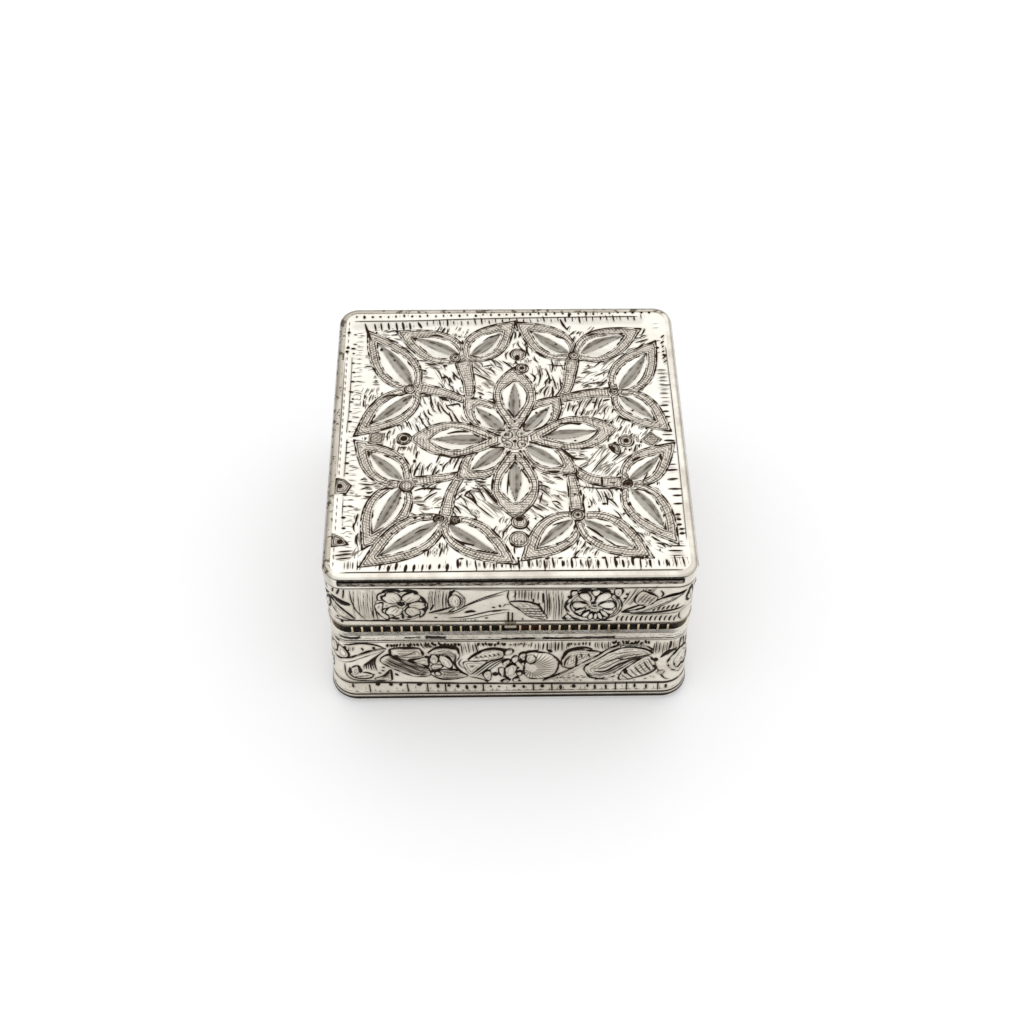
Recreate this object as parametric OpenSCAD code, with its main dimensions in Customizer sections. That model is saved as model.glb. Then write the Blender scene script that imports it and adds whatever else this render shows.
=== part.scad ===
// A square silver stamp box with a hinged lid. The base is a flared case on
// a foot moulding, with an inner lining that stands up as the bezel. A reeded
// collar shows between base and lid. Inside, a partition and two curved ramps
// make two compartments for stamps. Millimetres, +Z up, hinge at the back (+Y),
// origin in the middle of the underside.

/* [Walls] */
// Width across the flats of the walls at the mouth of the box
wall_w = 50.2; // [46:0.2:56]
// How far each base wall spreads outwards from its top down to its foot
wall_spread = 0.9; // [0.2:0.1:1.2]
// Outer radius of the upright corners
corner_r = 2.8; // [2.4:0.1:4]
// Thickness of the sheet in the walls of base and lid
sheet_t = 0.7; // [0.5:0.05:0.8]

/* [Base] */
// Thickness of the bottom plate
plate_t = 0.7; // [0.6:0.1:1.6]
// How far the edge of the bottom plate lies back from the foot moulding
plate_back = 0.35; // [0.1:0.05:0.8]
// Height of the foot moulding
foot_h = 0.8; // [0.6:0.1:2]
// Width of the foot moulding's section
foot_w = 2; // [1.5:0.1:2.1]
// How far the foot moulding stands out from the foot of the walls
foot_out = 0.15; // [0.05:0.05:0.5]
// Height of the base walls
base_wall_h = 13.4; // [12:0.1:20]
// Height of the plain strip round the mouth
mouth_h = 2.15; // [1:0.05:3]
// How far the plain strip and the wire round the lid's edge stand out from the walls
edge_out = 0.15; // [0.05:0.05:0.4]

/* [Lining and collar] */
// Thickness of the lining's sheet
lining_t = 0.6; // [0.4:0.1:0.8]
// Gap between the lining and the inside of the walls at the mouth
lining_gap = 0.8; // [0.6:0.1:1]
// How far the lining stands up above the collar, inside the lid
bezel_h = 1.8; // [1:0.2:4]
// Height of the reeded collar between base and lid
collar_h = 1.55; // [1.4:0.05:2.4]
// How far the collar's ground lies back from the faces of the walls
collar_back = 0.75; // [0.6:0.05:1]
// How far the reeds stand out from the collar's ground
reed_out = 0.35; // [0.2:0.05:0.5]
// Width of one reed
reed_w = 0.26; // [0.2:0.02:0.4]
// Distance from one reed to the next
reed_pitch = 1.37; // [1:0.01:2]

/* [Lid] */
// Height of the wire round the lid's lower edge
wire_h = 0.65; // [0.5:0.05:1.2]
// Clearance between that wire and the lining
lid_gap = 0.3; // [0.2:0.05:0.5]
// Height of the lid walls between the wire and the rim
lid_wall_h = 8.85; // [6:0.05:14]
// Height of the rim moulding
rim_h = 1.9; // [1.8:0.05:3.5]
// Radius of the rim's rounded upper edge
rim_r = 0.75; // [0.5:0.05:0.8]
// How far the rim stands out from the lid walls
rim_out = 0.05; // [0.05:0.05:0.4]
// Width of the rim's top, from its outer edge to the lid plate
rim_w = 1.1; // [0.85:0.05:1.4]
// Width of the rim's ledge under the lid plate
ledge_w = 0.9; // [0.5:0.1:1.2]
// Thickness of the lid plate
lid_t = 0.7; // [0.5:0.05:1]
// How far the lid plate lies below the top of the rim
lid_sink = 0.1; // [0.05:0.05:0.4]
// Width of the thumb point on the lid's front edge
thumb_w = 1.6; // [1:0.1:4]
// How far the thumb point stands out from the wire
thumb_out = 0.3; // [0.2:0.05:0.6]
// How far the thumb point reaches down over the collar
thumb_drop = 0.55; // [0.2:0.05:0.8]

/* [Hinge] */
// Length of the hinge
hinge_l = 36; // [24:1:40]
// Number of knuckles, base and lid in turn
knuckles = 5; // [3:2:7]
// Gap between one knuckle and the next
knuckle_gap = 0.12; // [0.08:0.02:0.2]
// Gap between the barrel and the strips above and below it
barrel_gap = 0.05; // [0.04:0.01:0.1]
// How far the hinge axis lies in from the faces of the walls
hinge_in = 0.4; // [0.3:0.05:0.45]
// Diameter of the hinge pin
pin_d = 0.7; // [0.5:0.05:0.8]
// Running clearance round the pin
pin_clear = 0.05; // [0.03:0.01:0.08]
// Clearance at each end of the hinge
hinge_end_gap = 0.2; // [0.1:0.05:0.5]

/* [Stamp compartments] */
// Thickness of the partition
partition_t = 0.8; // [0.6:0.1:1.6]
// How far the top of the partition lies below the top of the lining
partition_drop = 0.8; // [0.2:0.1:3]
// Width of the finger dip in the partition
dip_w = 18; // [10:1:24]
// Depth of the finger dip
dip_h = 4; // [2:0.5:6]
// Thickness of the curved ramps
ramp_t = 0.6; // [0.4:0.1:1]
// Height of the ramps above the bottom plate, at the middle
ramp_low = 7; // [2:0.5:8]
// How far the ramps rise from the middle to the front and back
ramp_rise = 4.5; // [2:0.5:5]

/* [Hidden] */
$fn = 64;

// Distances from the middle of the box to faces of its rings
wall = wall_w / 2;
corner = wall - corner_r;
foot = wall + wall_spread + foot_out;
edge = wall + edge_out;
lining_outer = wall - sheet_t - lining_gap;
lining_inner = lining_outer - lining_t;
collar_face = wall - collar_back;
wire_inner = lining_outer + lid_gap;
rim_outer = wall + rim_out;
plate_half = rim_outer - rim_w;

// Heights above the underside
foot_top = plate_t + foot_h;
wall_top = foot_top + base_wall_h;
seam_low = wall_top + mouth_h;
seam_high = seam_low + collar_h;
lining_top = seam_high + bezel_h;
wire_top = seam_high + wire_h;
rim_low = wire_top + lid_wall_h;
box_h = rim_low + rim_h;
ledge_h = rim_h - lid_t - lid_sink;

// Hinge
axis_y = wall - hinge_in;
axis_z = (seam_low + seam_high) / 2;
barrel_r = collar_h / 2 - barrel_gap;
knuckle_l = (hinge_l - (knuckles - 1) * knuckle_gap) / knuckles;
knuckle_foot = 1.5 * barrel_r;

// Ramps
ramp_top = plate_t + ramp_low + ramp_t;
ramp_r = (pow(lining_inner, 2) + pow(ramp_rise, 2)) / (2 * ramp_rise);
partition_top = lining_top - partition_drop;
dip_r = (pow(dip_w / 2, 2) + pow(dip_h, 2)) / (2 * dip_h);
reed_count = floor(corner / reed_pitch);

// Room past a cut face
over = 1;

silver = [0.78, 0.76, 0.72];
shaded_silver = [0.62, 0.58, 0.52];
gilt = [0.83, 0.66, 0.34];
tarnish = [0.33, 0.27, 0.20];

// A ring with rounded corners: its section is drawn with x as the distance
// from the middle of the box to the face
module ring() {
    for (side = [0:90:270]) rotate(side) {
        rotate([90, 0, 0]) linear_extrude(2 * corner, center = true) children();
        translate([corner, corner, 0]) rotate_extrude(angle = 90) translate([-corner, 0]) children();
    }
}

module band(inner, outer, low, high) {
    translate([inner, low]) square([outer - inner, high - low]);
}

// A square plan with rounded corners that share the corners' centres
module plan(half) {
    round_r = half - corner;
    square([2 * half, 2 * corner], center = true);
    square([2 * corner, 2 * half], center = true);
    for (x = [-corner, corner], y = [-corner, corner]) translate([x, y]) circle(round_r);
}

// A flat plate with a rounded edge, which the box stands on
module base_plate() {
    edge_r = plate_t / 2;
    half = foot - plate_back;
    color(silver) {
        linear_extrude(plate_t) plan(half - edge_r);
        ring() translate([half - edge_r, edge_r]) circle(edge_r);
    }
}

module foot_moulding() {
    bead_r = foot_h / 2;
    color(silver) ring() {
        band(foot - foot_w, foot - bead_r, plate_t, foot_top);
        translate([foot - bead_r, plate_t + bead_r]) circle(bead_r);
    }
}

// The walls flare towards the foot and stand on the foot moulding
module base_walls() {
    top_inner = wall - sheet_t;
    color(silver) ring() polygon([
        [top_inner + wall_spread, foot_top],
        [wall + wall_spread, foot_top],
        [wall, wall_top],
        [top_inner, wall_top]
    ]);
}

// A plain strip, slightly convex, round the mouth
module mouth_moulding() {
    crown = edge_out * 2;
    color(silver) ring() polygon([
        [lining_outer, wall_top],
        [edge - crown, wall_top],
        [edge, wall_top + mouth_h / 4],
        [edge, seam_low - mouth_h / 4],
        [edge - crown, seam_low],
        [lining_outer, seam_low]
    ]);
}

// The lining stands on the bottom plate and rises into the lid as the bezel
module lining() {
    color(gilt) ring() band(lining_inner, lining_outer, plate_t, lining_top);
}

module reeded_collar() {
    color(tarnish) difference() {
        union() {
            ring() band(lining_outer, collar_face, seam_low, seam_high);
            for (side = [0:90:270], i = [-reed_count:reed_count])
                rotate(side) translate([collar_face - sheet_t / 2, i * reed_pitch - reed_w / 2, seam_low])
                    cube([sheet_t / 2 + reed_out, reed_w, collar_h]);
        }
        hinge_room();
    }
}

// Room for the hinge in the collar's back
module hinge_room() {
    length = hinge_l + 2 * hinge_end_gap;
    translate([-length / 2, lining_outer, seam_low - over])
        cube([length, wall - lining_outer + over, collar_h + 2 * over]);
}

module partition() {
    color(gilt) difference() {
        translate([-partition_t / 2, -lining_inner, plate_t])
            cube([partition_t, 2 * lining_inner, partition_top - plate_t]);
        translate([-partition_t, 0, partition_top - dip_h + dip_r])
            rotate([0, 90, 0]) cylinder(r = dip_r, h = 2 * partition_t, $fn = 180);
    }
}

// A sheet bent to a shallow curve, lowest in the middle of the compartment
module ramp(side) {
    low_x = side < 0 ? -lining_inner : partition_t / 2;
    color(gilt) intersection() {
        difference() {
            translate([low_x, 0, ramp_top + ramp_r]) rotate([0, 90, 0])
                cylinder(r = ramp_r + ramp_t, h = lining_inner - partition_t / 2, $fn = 360);
            translate([low_x - over, 0, ramp_top + ramp_r]) rotate([0, 90, 0])
                cylinder(r = ramp_r, h = lining_inner + 2 * over, $fn = 360);
        }
        linear_extrude(ramp_top + ramp_rise + ramp_t + over) plan(lining_inner);
    }
}

module left_ramp() { ramp(-1); }
module right_ramp() { ramp(1); }

// Every second knuckle, each on a foot that meets the strip it is soldered to
module barrel_part(first, up) {
    difference() {
        for (i = [first:2:knuckles - 1])
            translate([-hinge_l / 2 + i * (knuckle_l + knuckle_gap), axis_y, axis_z]) {
                rotate([0, 90, 0]) cylinder(r = barrel_r, h = knuckle_l);
                translate([0, -knuckle_foot / 2, up ? 0 : -collar_h / 2])
                    cube([knuckle_l, knuckle_foot, collar_h / 2]);
            }
        translate([-hinge_l / 2 - over, axis_y, axis_z]) rotate([0, 90, 0])
            cylinder(r = pin_d / 2 + pin_clear, h = hinge_l + 2 * over);
    }
}

module base_knuckles() { color(shaded_silver) barrel_part(0, false); }
module lid_knuckles() { color(shaded_silver) barrel_part(1, true); }

module hinge_pin() {
    color(shaded_silver) translate([-hinge_l / 2, axis_y, axis_z]) rotate([0, 90, 0])
        cylinder(d = pin_d, h = hinge_l);
}

module lid_plate() {
    color(silver) translate([0, 0, rim_low + ledge_h]) linear_extrude(lid_t) plan(plate_half);
}

// The rim rounds over to the top, and its ledge carries the lid plate
module lid_rim() {
    color(silver) ring() {
        band(plate_half - ledge_w, plate_half, rim_low, rim_low + ledge_h);
        band(plate_half, rim_outer, rim_low, box_h - rim_r);
        band(plate_half, rim_outer - rim_r, rim_low, box_h);
        translate([rim_outer - rim_r, box_h - rim_r]) intersection() {
            circle(rim_r);
            square(rim_r);
        }
    }
}

module lid_walls() {
    color(silver) ring() band(wall - sheet_t, wall, wire_top, rim_low);
}

module lid_edge_wire() {
    bead_r = wire_h / 2;
    color(silver) difference() {
        ring() {
            band(wire_inner, edge - bead_r, seam_high, wire_top);
            translate([edge - bead_r, seam_high + bead_r]) circle(bead_r);
        }
        thumb_block();
    }
}

// The thumb point is let into the wire, and tapers to a point below it
module thumb_block() {
    translate([0, wire_h / 2 - edge, 0]) rotate([90, 0, 0]) linear_extrude(wire_h / 2 + thumb_out)
        polygon([
            [-thumb_w / 2, wire_top],
            [-thumb_w / 2, seam_high],
            [0, seam_high - thumb_drop],
            [thumb_w / 2, seam_high],
            [thumb_w / 2, wire_top]
        ]);
}

module thumb_point() { color(silver) thumb_block(); }

base_plate();
foot_moulding();
base_walls();
mouth_moulding();
lining();
reeded_collar();
partition();
left_ramp();
right_ramp();
base_knuckles();
hinge_pin();
lid_plate();
lid_rim();
lid_walls();
lid_edge_wire();
thumb_point();
lid_knuckles();
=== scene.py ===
"""A square silver stamp box with an engraved lid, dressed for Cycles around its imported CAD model."""

from math import atan2, cos, pi, radians, sin

import bpy
import numpy as np
from mathutils import Matrix


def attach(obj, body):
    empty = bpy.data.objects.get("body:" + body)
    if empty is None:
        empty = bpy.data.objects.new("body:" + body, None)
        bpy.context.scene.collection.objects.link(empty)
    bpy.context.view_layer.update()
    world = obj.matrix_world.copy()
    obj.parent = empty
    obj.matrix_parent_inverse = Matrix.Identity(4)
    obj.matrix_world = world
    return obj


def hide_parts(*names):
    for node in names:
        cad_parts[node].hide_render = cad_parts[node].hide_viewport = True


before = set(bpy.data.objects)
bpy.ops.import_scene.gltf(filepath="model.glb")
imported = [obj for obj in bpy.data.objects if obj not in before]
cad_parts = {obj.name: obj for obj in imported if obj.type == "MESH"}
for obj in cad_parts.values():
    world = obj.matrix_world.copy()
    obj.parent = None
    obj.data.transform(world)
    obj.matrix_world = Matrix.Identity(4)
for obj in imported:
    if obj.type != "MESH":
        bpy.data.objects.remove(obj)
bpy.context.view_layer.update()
MM = 0.001

# Camera, floor and light.
# The box stands on a white sheet in a light tent: a bright soft ceiling, paler walls, and a dark gap low in front
# where the camera stands, which draws the black line along the polished rim.
CAMERA_AT = (-2.982, -135.338, 189.545)
CAMERA_DOWN = 0.920789
CAMERA_ASIDE = 0.0271264
CAMERA_ROLL = 0.0132971
LENS_MM = 51.67


def aim_camera(down, aside, roll):
    """The camera's axes for its tilt down, its turn aside and its roll, in radians."""
    ahead = np.array([sin(aside) * cos(down), cos(aside) * cos(down), -sin(down)])
    right = np.array([cos(aside), -sin(aside), 0.0])
    above = np.cross(right, ahead)
    x_axis = cos(roll) * right + sin(roll) * above
    y_axis = cos(roll) * above - sin(roll) * right
    turn = Matrix(np.column_stack([x_axis, y_axis, -ahead]).tolist())
    return Matrix.Translation([v * MM for v in CAMERA_AT]) @ turn.to_4x4()


camera_data = bpy.data.cameras.new("camera")
camera_data.lens = LENS_MM
camera_data.sensor_width = 36.0
camera_data.clip_start = 0.01
camera = bpy.data.objects.new("camera", camera_data)
camera.matrix_world = aim_camera(CAMERA_DOWN, CAMERA_ASIDE, CAMERA_ROLL)
bpy.context.scene.collection.objects.link(camera)
bpy.context.scene.camera = camera
bpy.context.scene.view_settings.view_transform = "Standard"


def tint(code):
    """An sRGB hex colour as linear light."""
    shares = [int(code[i : i + 2], 16) / 255 for i in (0, 2, 4)]
    return [s / 12.92 if s <= 0.04045 else ((s + 0.055) / 1.055) ** 2.4 for s in shares] + [1.0]


def add(tree, kind, links=None, **settings):
    """Adds a node with its settings. A link is a socket, or a plain value for that input."""
    made = tree.nodes.new("ShaderNode" + kind)
    for name, value in settings.items():
        setattr(made, name, value)
    for name, value in (links or {}).items():
        if isinstance(value, bpy.types.NodeSocket):
            tree.links.new(value, made.inputs[name])
        else:
            made.inputs[name].default_value = value
    return made.outputs[0] if made.outputs else made


SHEET = "fbfbfa"
SHEET_LIFT = 0.21
FLOOR_SIZE = 3.0

floor_mesh = bpy.data.meshes.new("floor")
edge = FLOOR_SIZE / 2
floor_mesh.from_pydata([(-edge, -edge, 0), (edge, -edge, 0), (edge, edge, 0), (-edge, edge, 0)], [], [(0, 1, 2, 3)])
floor = bpy.data.objects.new("floor", floor_mesh)
bpy.context.scene.collection.objects.link(floor)
paper = bpy.data.materials.new("white paper sheet, matt coated")
paper.use_nodes = True
tree = paper.node_tree
tree.nodes.clear()
# Matt paper scatters light evenly. To the eye and in reflections it is lifted to the white of the tent behind it.
sheet = add(tree, "BsdfDiffuse", {"Color": tint("f5f5f6")})
rays = tree.nodes.new("ShaderNodeLightPath")
seen = add(tree, "Math", {0: rays.outputs["Is Camera Ray"], 1: rays.outputs["Is Glossy Ray"]}, operation="MAXIMUM")
lift = add(tree, "Math", {0: seen, 1: SHEET_LIFT}, operation="MULTIPLY")
glow = add(tree, "Emission", {"Color": tint(SHEET), "Strength": lift})
both = add(tree, "AddShader", {0: sheet, 1: glow})
add(tree, "OutputMaterial", {"Surface": both})
floor.data.materials.append(paper)

world = bpy.data.worlds.new("light tent")
world.use_nodes = True
bpy.context.scene.world = world
tree = world.node_tree
tree.nodes.clear()
way = add(tree, "TexCoord")
sides = tree.nodes.new("ShaderNodeSeparateXYZ")
tree.links.new(way, sides.inputs[0])
height = add(tree, "MapRange", {"Value": sides.outputs["Z"], "From Min": 0.0, "From Max": 0.72, "To Min": 0.42, "To Max": 1.0})
front = add(tree, "MapRange", {"Value": sides.outputs["Y"], "From Min": -0.68, "From Max": -0.84, "To Min": 0.0, "To Max": 1.0})
low = add(tree, "MapRange", {"Value": sides.outputs["Z"], "From Min": 0.62, "From Max": 0.45, "To Min": 0.0, "To Max": 1.0})
gap = add(tree, "Math", {0: front, 1: low}, operation="MULTIPLY")
shade = add(tree, "MapRange", {"Value": gap, "From Min": 0.0, "From Max": 1.0, "To Min": 1.0, "To Max": 0.04})
tent = add(tree, "Math", {0: height, 1: shade}, operation="MULTIPLY")
rays = tree.nodes.new("ShaderNodeLightPath")
strength = add(tree, "Mix", {0: rays.outputs["Is Camera Ray"], 2: tent, 3: 0.98})
background = add(tree, "Background", {"Color": tint("ffffff"), "Strength": strength})
add(tree, "OutputWorld", {"Surface": background})

lamp_data = bpy.data.lights.new("soft ceiling lamp", "SUN")
lamp_data.energy = 0.25
lamp_data.angle = radians(62)
lamp = bpy.data.objects.new("soft ceiling lamp", lamp_data)
lamp.rotation_euler = (radians(-20), radians(6), 0)
bpy.context.scene.collection.objects.link(lamp)

# Bottom plate and foot moulding.
# The box stands on a flat sheet of silver with a rounded edge, and a half-round moulding is soldered round it.
# Both are polished sterling silver that handling has dulled, with tarnish in the joint over the foot; their lower part
# by the floor is painted black as the shadow under the foot.


def silver(name, fresh, dull, smooth, rough):
    """Polished sterling silver. It mirrors its surroundings through fine scratches and uneven dulling."""
    made = bpy.data.materials.new(name)
    made.use_nodes = True
    tree = made.node_tree
    tree.nodes.clear()
    place = tree.nodes.new("ShaderNodeTexCoord").outputs["Object"]
    millimetres = add(tree, "VectorMath", {0: place, 1: (1000.0, 1000.0, 1000.0)}, operation="MULTIPLY")
    clouds = add(tree, "TexNoise", {"Vector": millimetres, "Scale": 0.22, "Detail": 5.0, "Roughness": 0.6})
    scuffs = add(tree, "TexNoise", {"Vector": millimetres, "Scale": 1.9, "Detail": 6.0, "Roughness": 0.7})
    mottle = add(tree, "MapRange", {"Value": clouds, "From Min": 0.35, "From Max": 0.68})
    colour = add(tree, "MixRGB", {0: mottle, 1: tint(fresh), 2: tint(dull)})
    dulling = add(tree, "MapRange", {"Value": scuffs, "From Min": 0.3, "From Max": 0.75, "To Min": smooth, "To Max": rough})
    return made, tree, millimetres, colour, dulling


def dress(made, tree, colour, dulling, height, deep, metal=1.0):
    """Closes a metal: its colour, dulling and the height of its marks, in metres."""
    bump = tree.nodes.new("ShaderNodeBump")
    bump.inputs["Distance"].default_value = deep
    tree.links.new(height, bump.inputs["Height"])
    surface = add(tree, "BsdfPrincipled", {"Base Color": colour, "Roughness": dulling, "Metallic": metal, "Normal": bump.outputs[0]})
    add(tree, "OutputMaterial", {"Surface": surface})
    return made


def clothe(node, made):
    """Gives a CAD piece its finish."""
    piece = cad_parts[node]
    if not piece.data.materials:
        piece.data.materials.append(made)
    for i in range(len(piece.data.materials)):
        piece.data.materials[i] = made


def polished_silver(name, fresh, dull, smooth=0.1, rough=0.32, lines=()):
    """Polished silver with dark lines at given heights on the box, of tarnish or of painted shade: (from, to, share
    broken up by wear).
    """
    made, tree, where, colour, dulling = silver(name, fresh, dull, smooth, rough)
    split = tree.nodes.new("ShaderNodeSeparateXYZ")
    tree.links.new(where, split.inputs[0])
    long_way = add(tree, "VectorMath", {0: where, 1: (0.55, 0.55, 2.6)}, operation="MULTIPLY")
    broken = add(tree, "TexNoise", {"Vector": long_way, "Scale": 0.9, "Detail": 4.0, "Roughness": 0.65})
    fine = add(tree, "TexNoise", {"Vector": where, "Scale": 14.0, "Detail": 3.0})
    for low, high, worn in lines:
        middle = (low + high) / 2
        reach = (high - low) / 2
        off = add(tree, "Math", {0: split.outputs["Z"], 1: middle}, operation="SUBTRACT")
        gap = add(tree, "Math", {0: off}, operation="ABSOLUTE")
        inside = add(tree, "MapRange", {"Value": gap, "From Min": reach + 0.05, "From Max": reach - 0.03})
        kept = add(tree, "MapRange", {"Value": broken, "From Min": worn, "From Max": worn + 0.06})
        mask = add(tree, "Math", {0: inside, 1: kept}, operation="MULTIPLY")
        colour = add(tree, "MixRGB", {0: mask, 1: colour, 2: tint("2a211a")})
        dulling = add(tree, "MixRGB", {0: mask, 1: dulling, 2: (0.55, 0.55, 0.55, 1)})
    return dress(made, tree, colour, dulling, fine, 0.000012)


# The lower band is painted shadow where the foot meets the floor; the upper one is tarnish in the joint over the foot.
foot_silver = polished_silver(
    "sterling silver, polished and handled", "d3ccc0", "a99f90", 0.16, 0.4, [(0.25, 1.32, 0.05), (1.47, 1.62, 0.3)]
)
clothe("base_plate", foot_silver)
clothe("foot_moulding", foot_silver)

# Base walls.
# A strip of silver sheet is bent round four corners, soldered at the back and flared to the foot. Its scrolling
# leaves are chased from the front and then cut with a graver, and old polish and tarnish lie black in the cuts.

def smooth_line(points, closed=False, steps=6):
    """A smooth line through given points, as a graver would follow it."""
    p = np.array(points, float)
    if len(p) == 2:
        return p
    if closed:
        p = np.vstack([p[-1], p, p[0], p[1]])
    else:
        p = np.vstack([2 * p[0] - p[1], p, 2 * p[-1] - p[-2]])
    t = np.arange(steps)[:, None] / steps
    pieces = []
    for a, b, c, d in zip(p[:-3], p[1:-2], p[2:-1], p[3:]):
        cubic = 3 * b - a - 3 * c + d
        pieces.append(0.5 * (2 * b + (c - a) * t + (2 * a - 5 * b + 4 * c - d) * t**2 + cubic * t**3))
    return np.vstack(pieces + [p[-2:-1]])


class Engraving:
    """One engraved face: what the graver has left at each point of the sheet, in millimetres."""

    def __init__(self, columns, rows, x, y, seed):
        self.columns = columns
        self.rows = rows
        self.x = x
        self.y = y
        self.chance = np.random.default_rng(seed)
        self.cut = np.full(x.shape, 1.0)
        self.grain = np.full(x.shape, 1.0)
        self.comb = np.full(x.shape, 1.0)
        self.free = np.full(x.shape, 9.0)
        self.rake = np.zeros(x.shape)
        self.rise = np.zeros(x.shape)
        self.tone = np.zeros(x.shape)
        self.faint = np.full(x.shape, 1.0)
        self.shake = np.zeros(x.shape)
        for _ in range(12):
            turn = self.chance.uniform(0, 2 * np.pi)
            wave = self.chance.uniform(1.0, 3.2)
            phase = self.chance.uniform(0, 2 * np.pi)
            self.shake += 0.012 * np.sin((x * np.cos(turn) + y * np.sin(turn)) * 2 * np.pi / wave + phase)

    def window(self, points, reach):
        low = np.min(points, 0) - reach
        high = np.max(points, 0) + reach
        across = slice(*np.searchsorted(self.columns, (low[0], high[0])))
        up = slice(*np.searchsorted(self.rows, (low[1], high[1])))
        return up, across

    def follow(self, spot, line):
        """How far each point is from a line, and how far along it."""
        x, y = self.x[spot], self.y[spot]
        gap = np.full(x.shape, 99.0)
        place = np.zeros(x.shape)
        run = 0.0
        for a, b in zip(line[:-1], line[1:]):
            step = b - a
            length = np.hypot(*step)
            if length < 1e-9:
                continue
            t = np.clip(((x - a[0]) * step[0] + (y - a[1]) * step[1]) / length**2, 0, 1)
            new = np.hypot(x - a[0] - t * step[0], y - a[1] - t * step[1])
            closer = new < gap
            gap = np.where(closer, new, gap)
            place = np.where(closer, run + t * length, place)
            run += length
        return gap, place, run

    def stroke(self, points, width=0.22, taper=0.35, over=True, inside=None, steps=6):
        """One cut of the graver. It swells between thin ends, and stops at figures unless it goes over them."""
        line = smooth_line(points, steps=steps)
        spot = self.window(line, 0.7)
        gap, place, run = self.follow(spot, line)
        ends = np.clip(np.minimum(place, run - place) / max(taper * run, 1e-6), 0, 1)
        edge = gap - width / 2 * (0.3 + 0.7 * ends**0.6)
        if not over:
            edge = np.maximum(edge, 0.14 - self.free[spot])
        if inside is not None:
            edge = np.maximum(edge, inside[spot] + 0.05)
        self.cut[spot] = np.minimum(self.cut[spot], edge)

    def scratch(self, points, width=0.15, over=False, inside=None):
        """A shallow cut, brown with old polish."""
        line = smooth_line(points, steps=4)
        spot = self.window(line, 0.6)
        gap, place, run = self.follow(spot, line)
        ends = np.clip(np.minimum(place, run - place) / max(0.4 * run, 1e-6), 0, 1)
        edge = gap - width / 2 * (0.4 + 0.6 * ends)
        if not over:
            edge = np.maximum(edge, 0.14 - self.free[spot])
        if inside is not None:
            edge = np.maximum(edge, inside[spot] + 0.05)
        self.faint[spot] = np.minimum(self.faint[spot], edge)

    def cuts(self, width, *lines):
        """Several cuts of one width."""
        for line in lines:
            self.stroke(line, width, 0.45)

    def shade(self, points, reach, grey):
        """A stretch that old polish has greyed, under the figures."""
        line = smooth_line(points)
        spot = self.window(line, 2 * reach)
        gap, _, _ = self.follow(spot, line)
        mark = grey * np.clip(1.5 - gap / reach, 0, 1) * np.clip(self.free[spot] / 0.1, 0, 1)
        self.tone[spot] = np.maximum(self.tone[spot], mark)

    def ground_cut(self, x, y, turn, length, gap, bow):
        """One mark of the ground: a bold cut, a thin one, a shallow scratch, a loop of two, or a dot."""
        uniform = self.chance.uniform
        kind = uniform()
        angle = np.radians(turn) + uniform(-0.2, 0.2)
        tx, ty = np.cos(angle), np.sin(angle)
        half = length / 2 * uniform(0.55, 1.35)
        bend = bow + uniform(-0.16, 0.16)
        a = (x - tx * half, y - ty * half)
        b = (x - ty * bend, y + tx * bend)
        c = (x + tx * half, y + ty * half)
        if kind < 0.06:
            self.dots((x, y), r=uniform(0.12, 0.2))
        elif kind < 0.28:
            self.stroke([a, b, c], uniform(0.22, 0.34), 0.5, over=False, steps=3)
        elif kind < 0.6:
            self.stroke([a, b, c], uniform(0.18, 0.27), over=False, steps=3)
        elif kind < 0.68:
            wide = gap * 0.36
            self.scratch([a, (x - ty * wide, y + tx * wide), c], 0.14)
            self.scratch([a, (x + ty * wide, y - tx * wide), c], 0.14)
            self.stroke([(x - tx * half * 0.4, y - ty * half * 0.4), (x + tx * half * 0.4, y + ty * half * 0.4)], 0.18, over=False)
        else:
            self.scratch([a, b, c], uniform(0.18, 0.26))
        aside = gap * uniform(0.38, 0.6)
        start, stop = uniform(0, 0.5), uniform(0.5, 1)
        begin = (a[0] + (c[0] - a[0]) * start - ty * aside, a[1] + (c[1] - a[1]) * start + tx * aside)
        end = (a[0] + (c[0] - a[0]) * stop - ty * aside, a[1] + (c[1] - a[1]) * stop + tx * aside)
        self.scratch([begin, end], uniform(0.14, 0.2))
        self.scratch([(begin[0] + ty * 1.7 * aside, begin[1] - tx * 1.7 * aside), (c[0] + ty * 0.5 * aside, c[1] - tx * 0.5 * aside)], uniform(0.12, 0.18))

    def hatch(self, start, step, count, aim, length, width=0.2, bow=0.0, turn=0.0, ragged=0.3, over=False, inside=None, fine=0.7):
        """A row of like cuts, with the unevenness of handwork and finer cuts between."""
        uniform = self.chance.uniform
        for i in range(count):
            x = start[0] + step[0] * i + uniform(-0.1, 0.1)
            y = start[1] + step[1] * i + uniform(-0.1, 0.1)
            angle = np.arctan2(aim[1], aim[0]) + np.radians(turn) * i / max(count - 1, 1)
            angle += uniform(-0.2, 0.2) * ragged
            half = length / 2 * (1 + uniform(-ragged, ragged))
            slide = uniform(-0.35, 0.35) * length * ragged
            tx, ty = np.cos(angle), np.sin(angle)
            a = (x + tx * (slide - half), y + ty * (slide - half))
            b = (x + tx * slide - ty * bow, y + ty * slide + tx * bow)
            c = (x + tx * (slide + half), y + ty * (slide + half))
            self.stroke([a, b, c], width * uniform(0.7, 1.25), over=over, inside=inside, steps=3)
            if uniform() < fine:
                near = [(p + step[0] * 0.5 + tx * uniform(-0.2, 0.2), q + step[1] * 0.5) for p, q in (a, b, c)]
                self.scratch(near, 0.12, over, inside)

    def dots(self, *places, r=0.16):
        """Punched dots, each a little out of round."""
        for x, y in places:
            spot = self.window([(x, y)], r + 0.6)
            lean = self.chance.uniform(0.75, 1.25)
            edge = np.hypot((self.x[spot] - x) * lean, (self.y[spot] - y) / lean) - r
            self.cut[spot] = np.minimum(self.cut[spot], edge)

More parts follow.
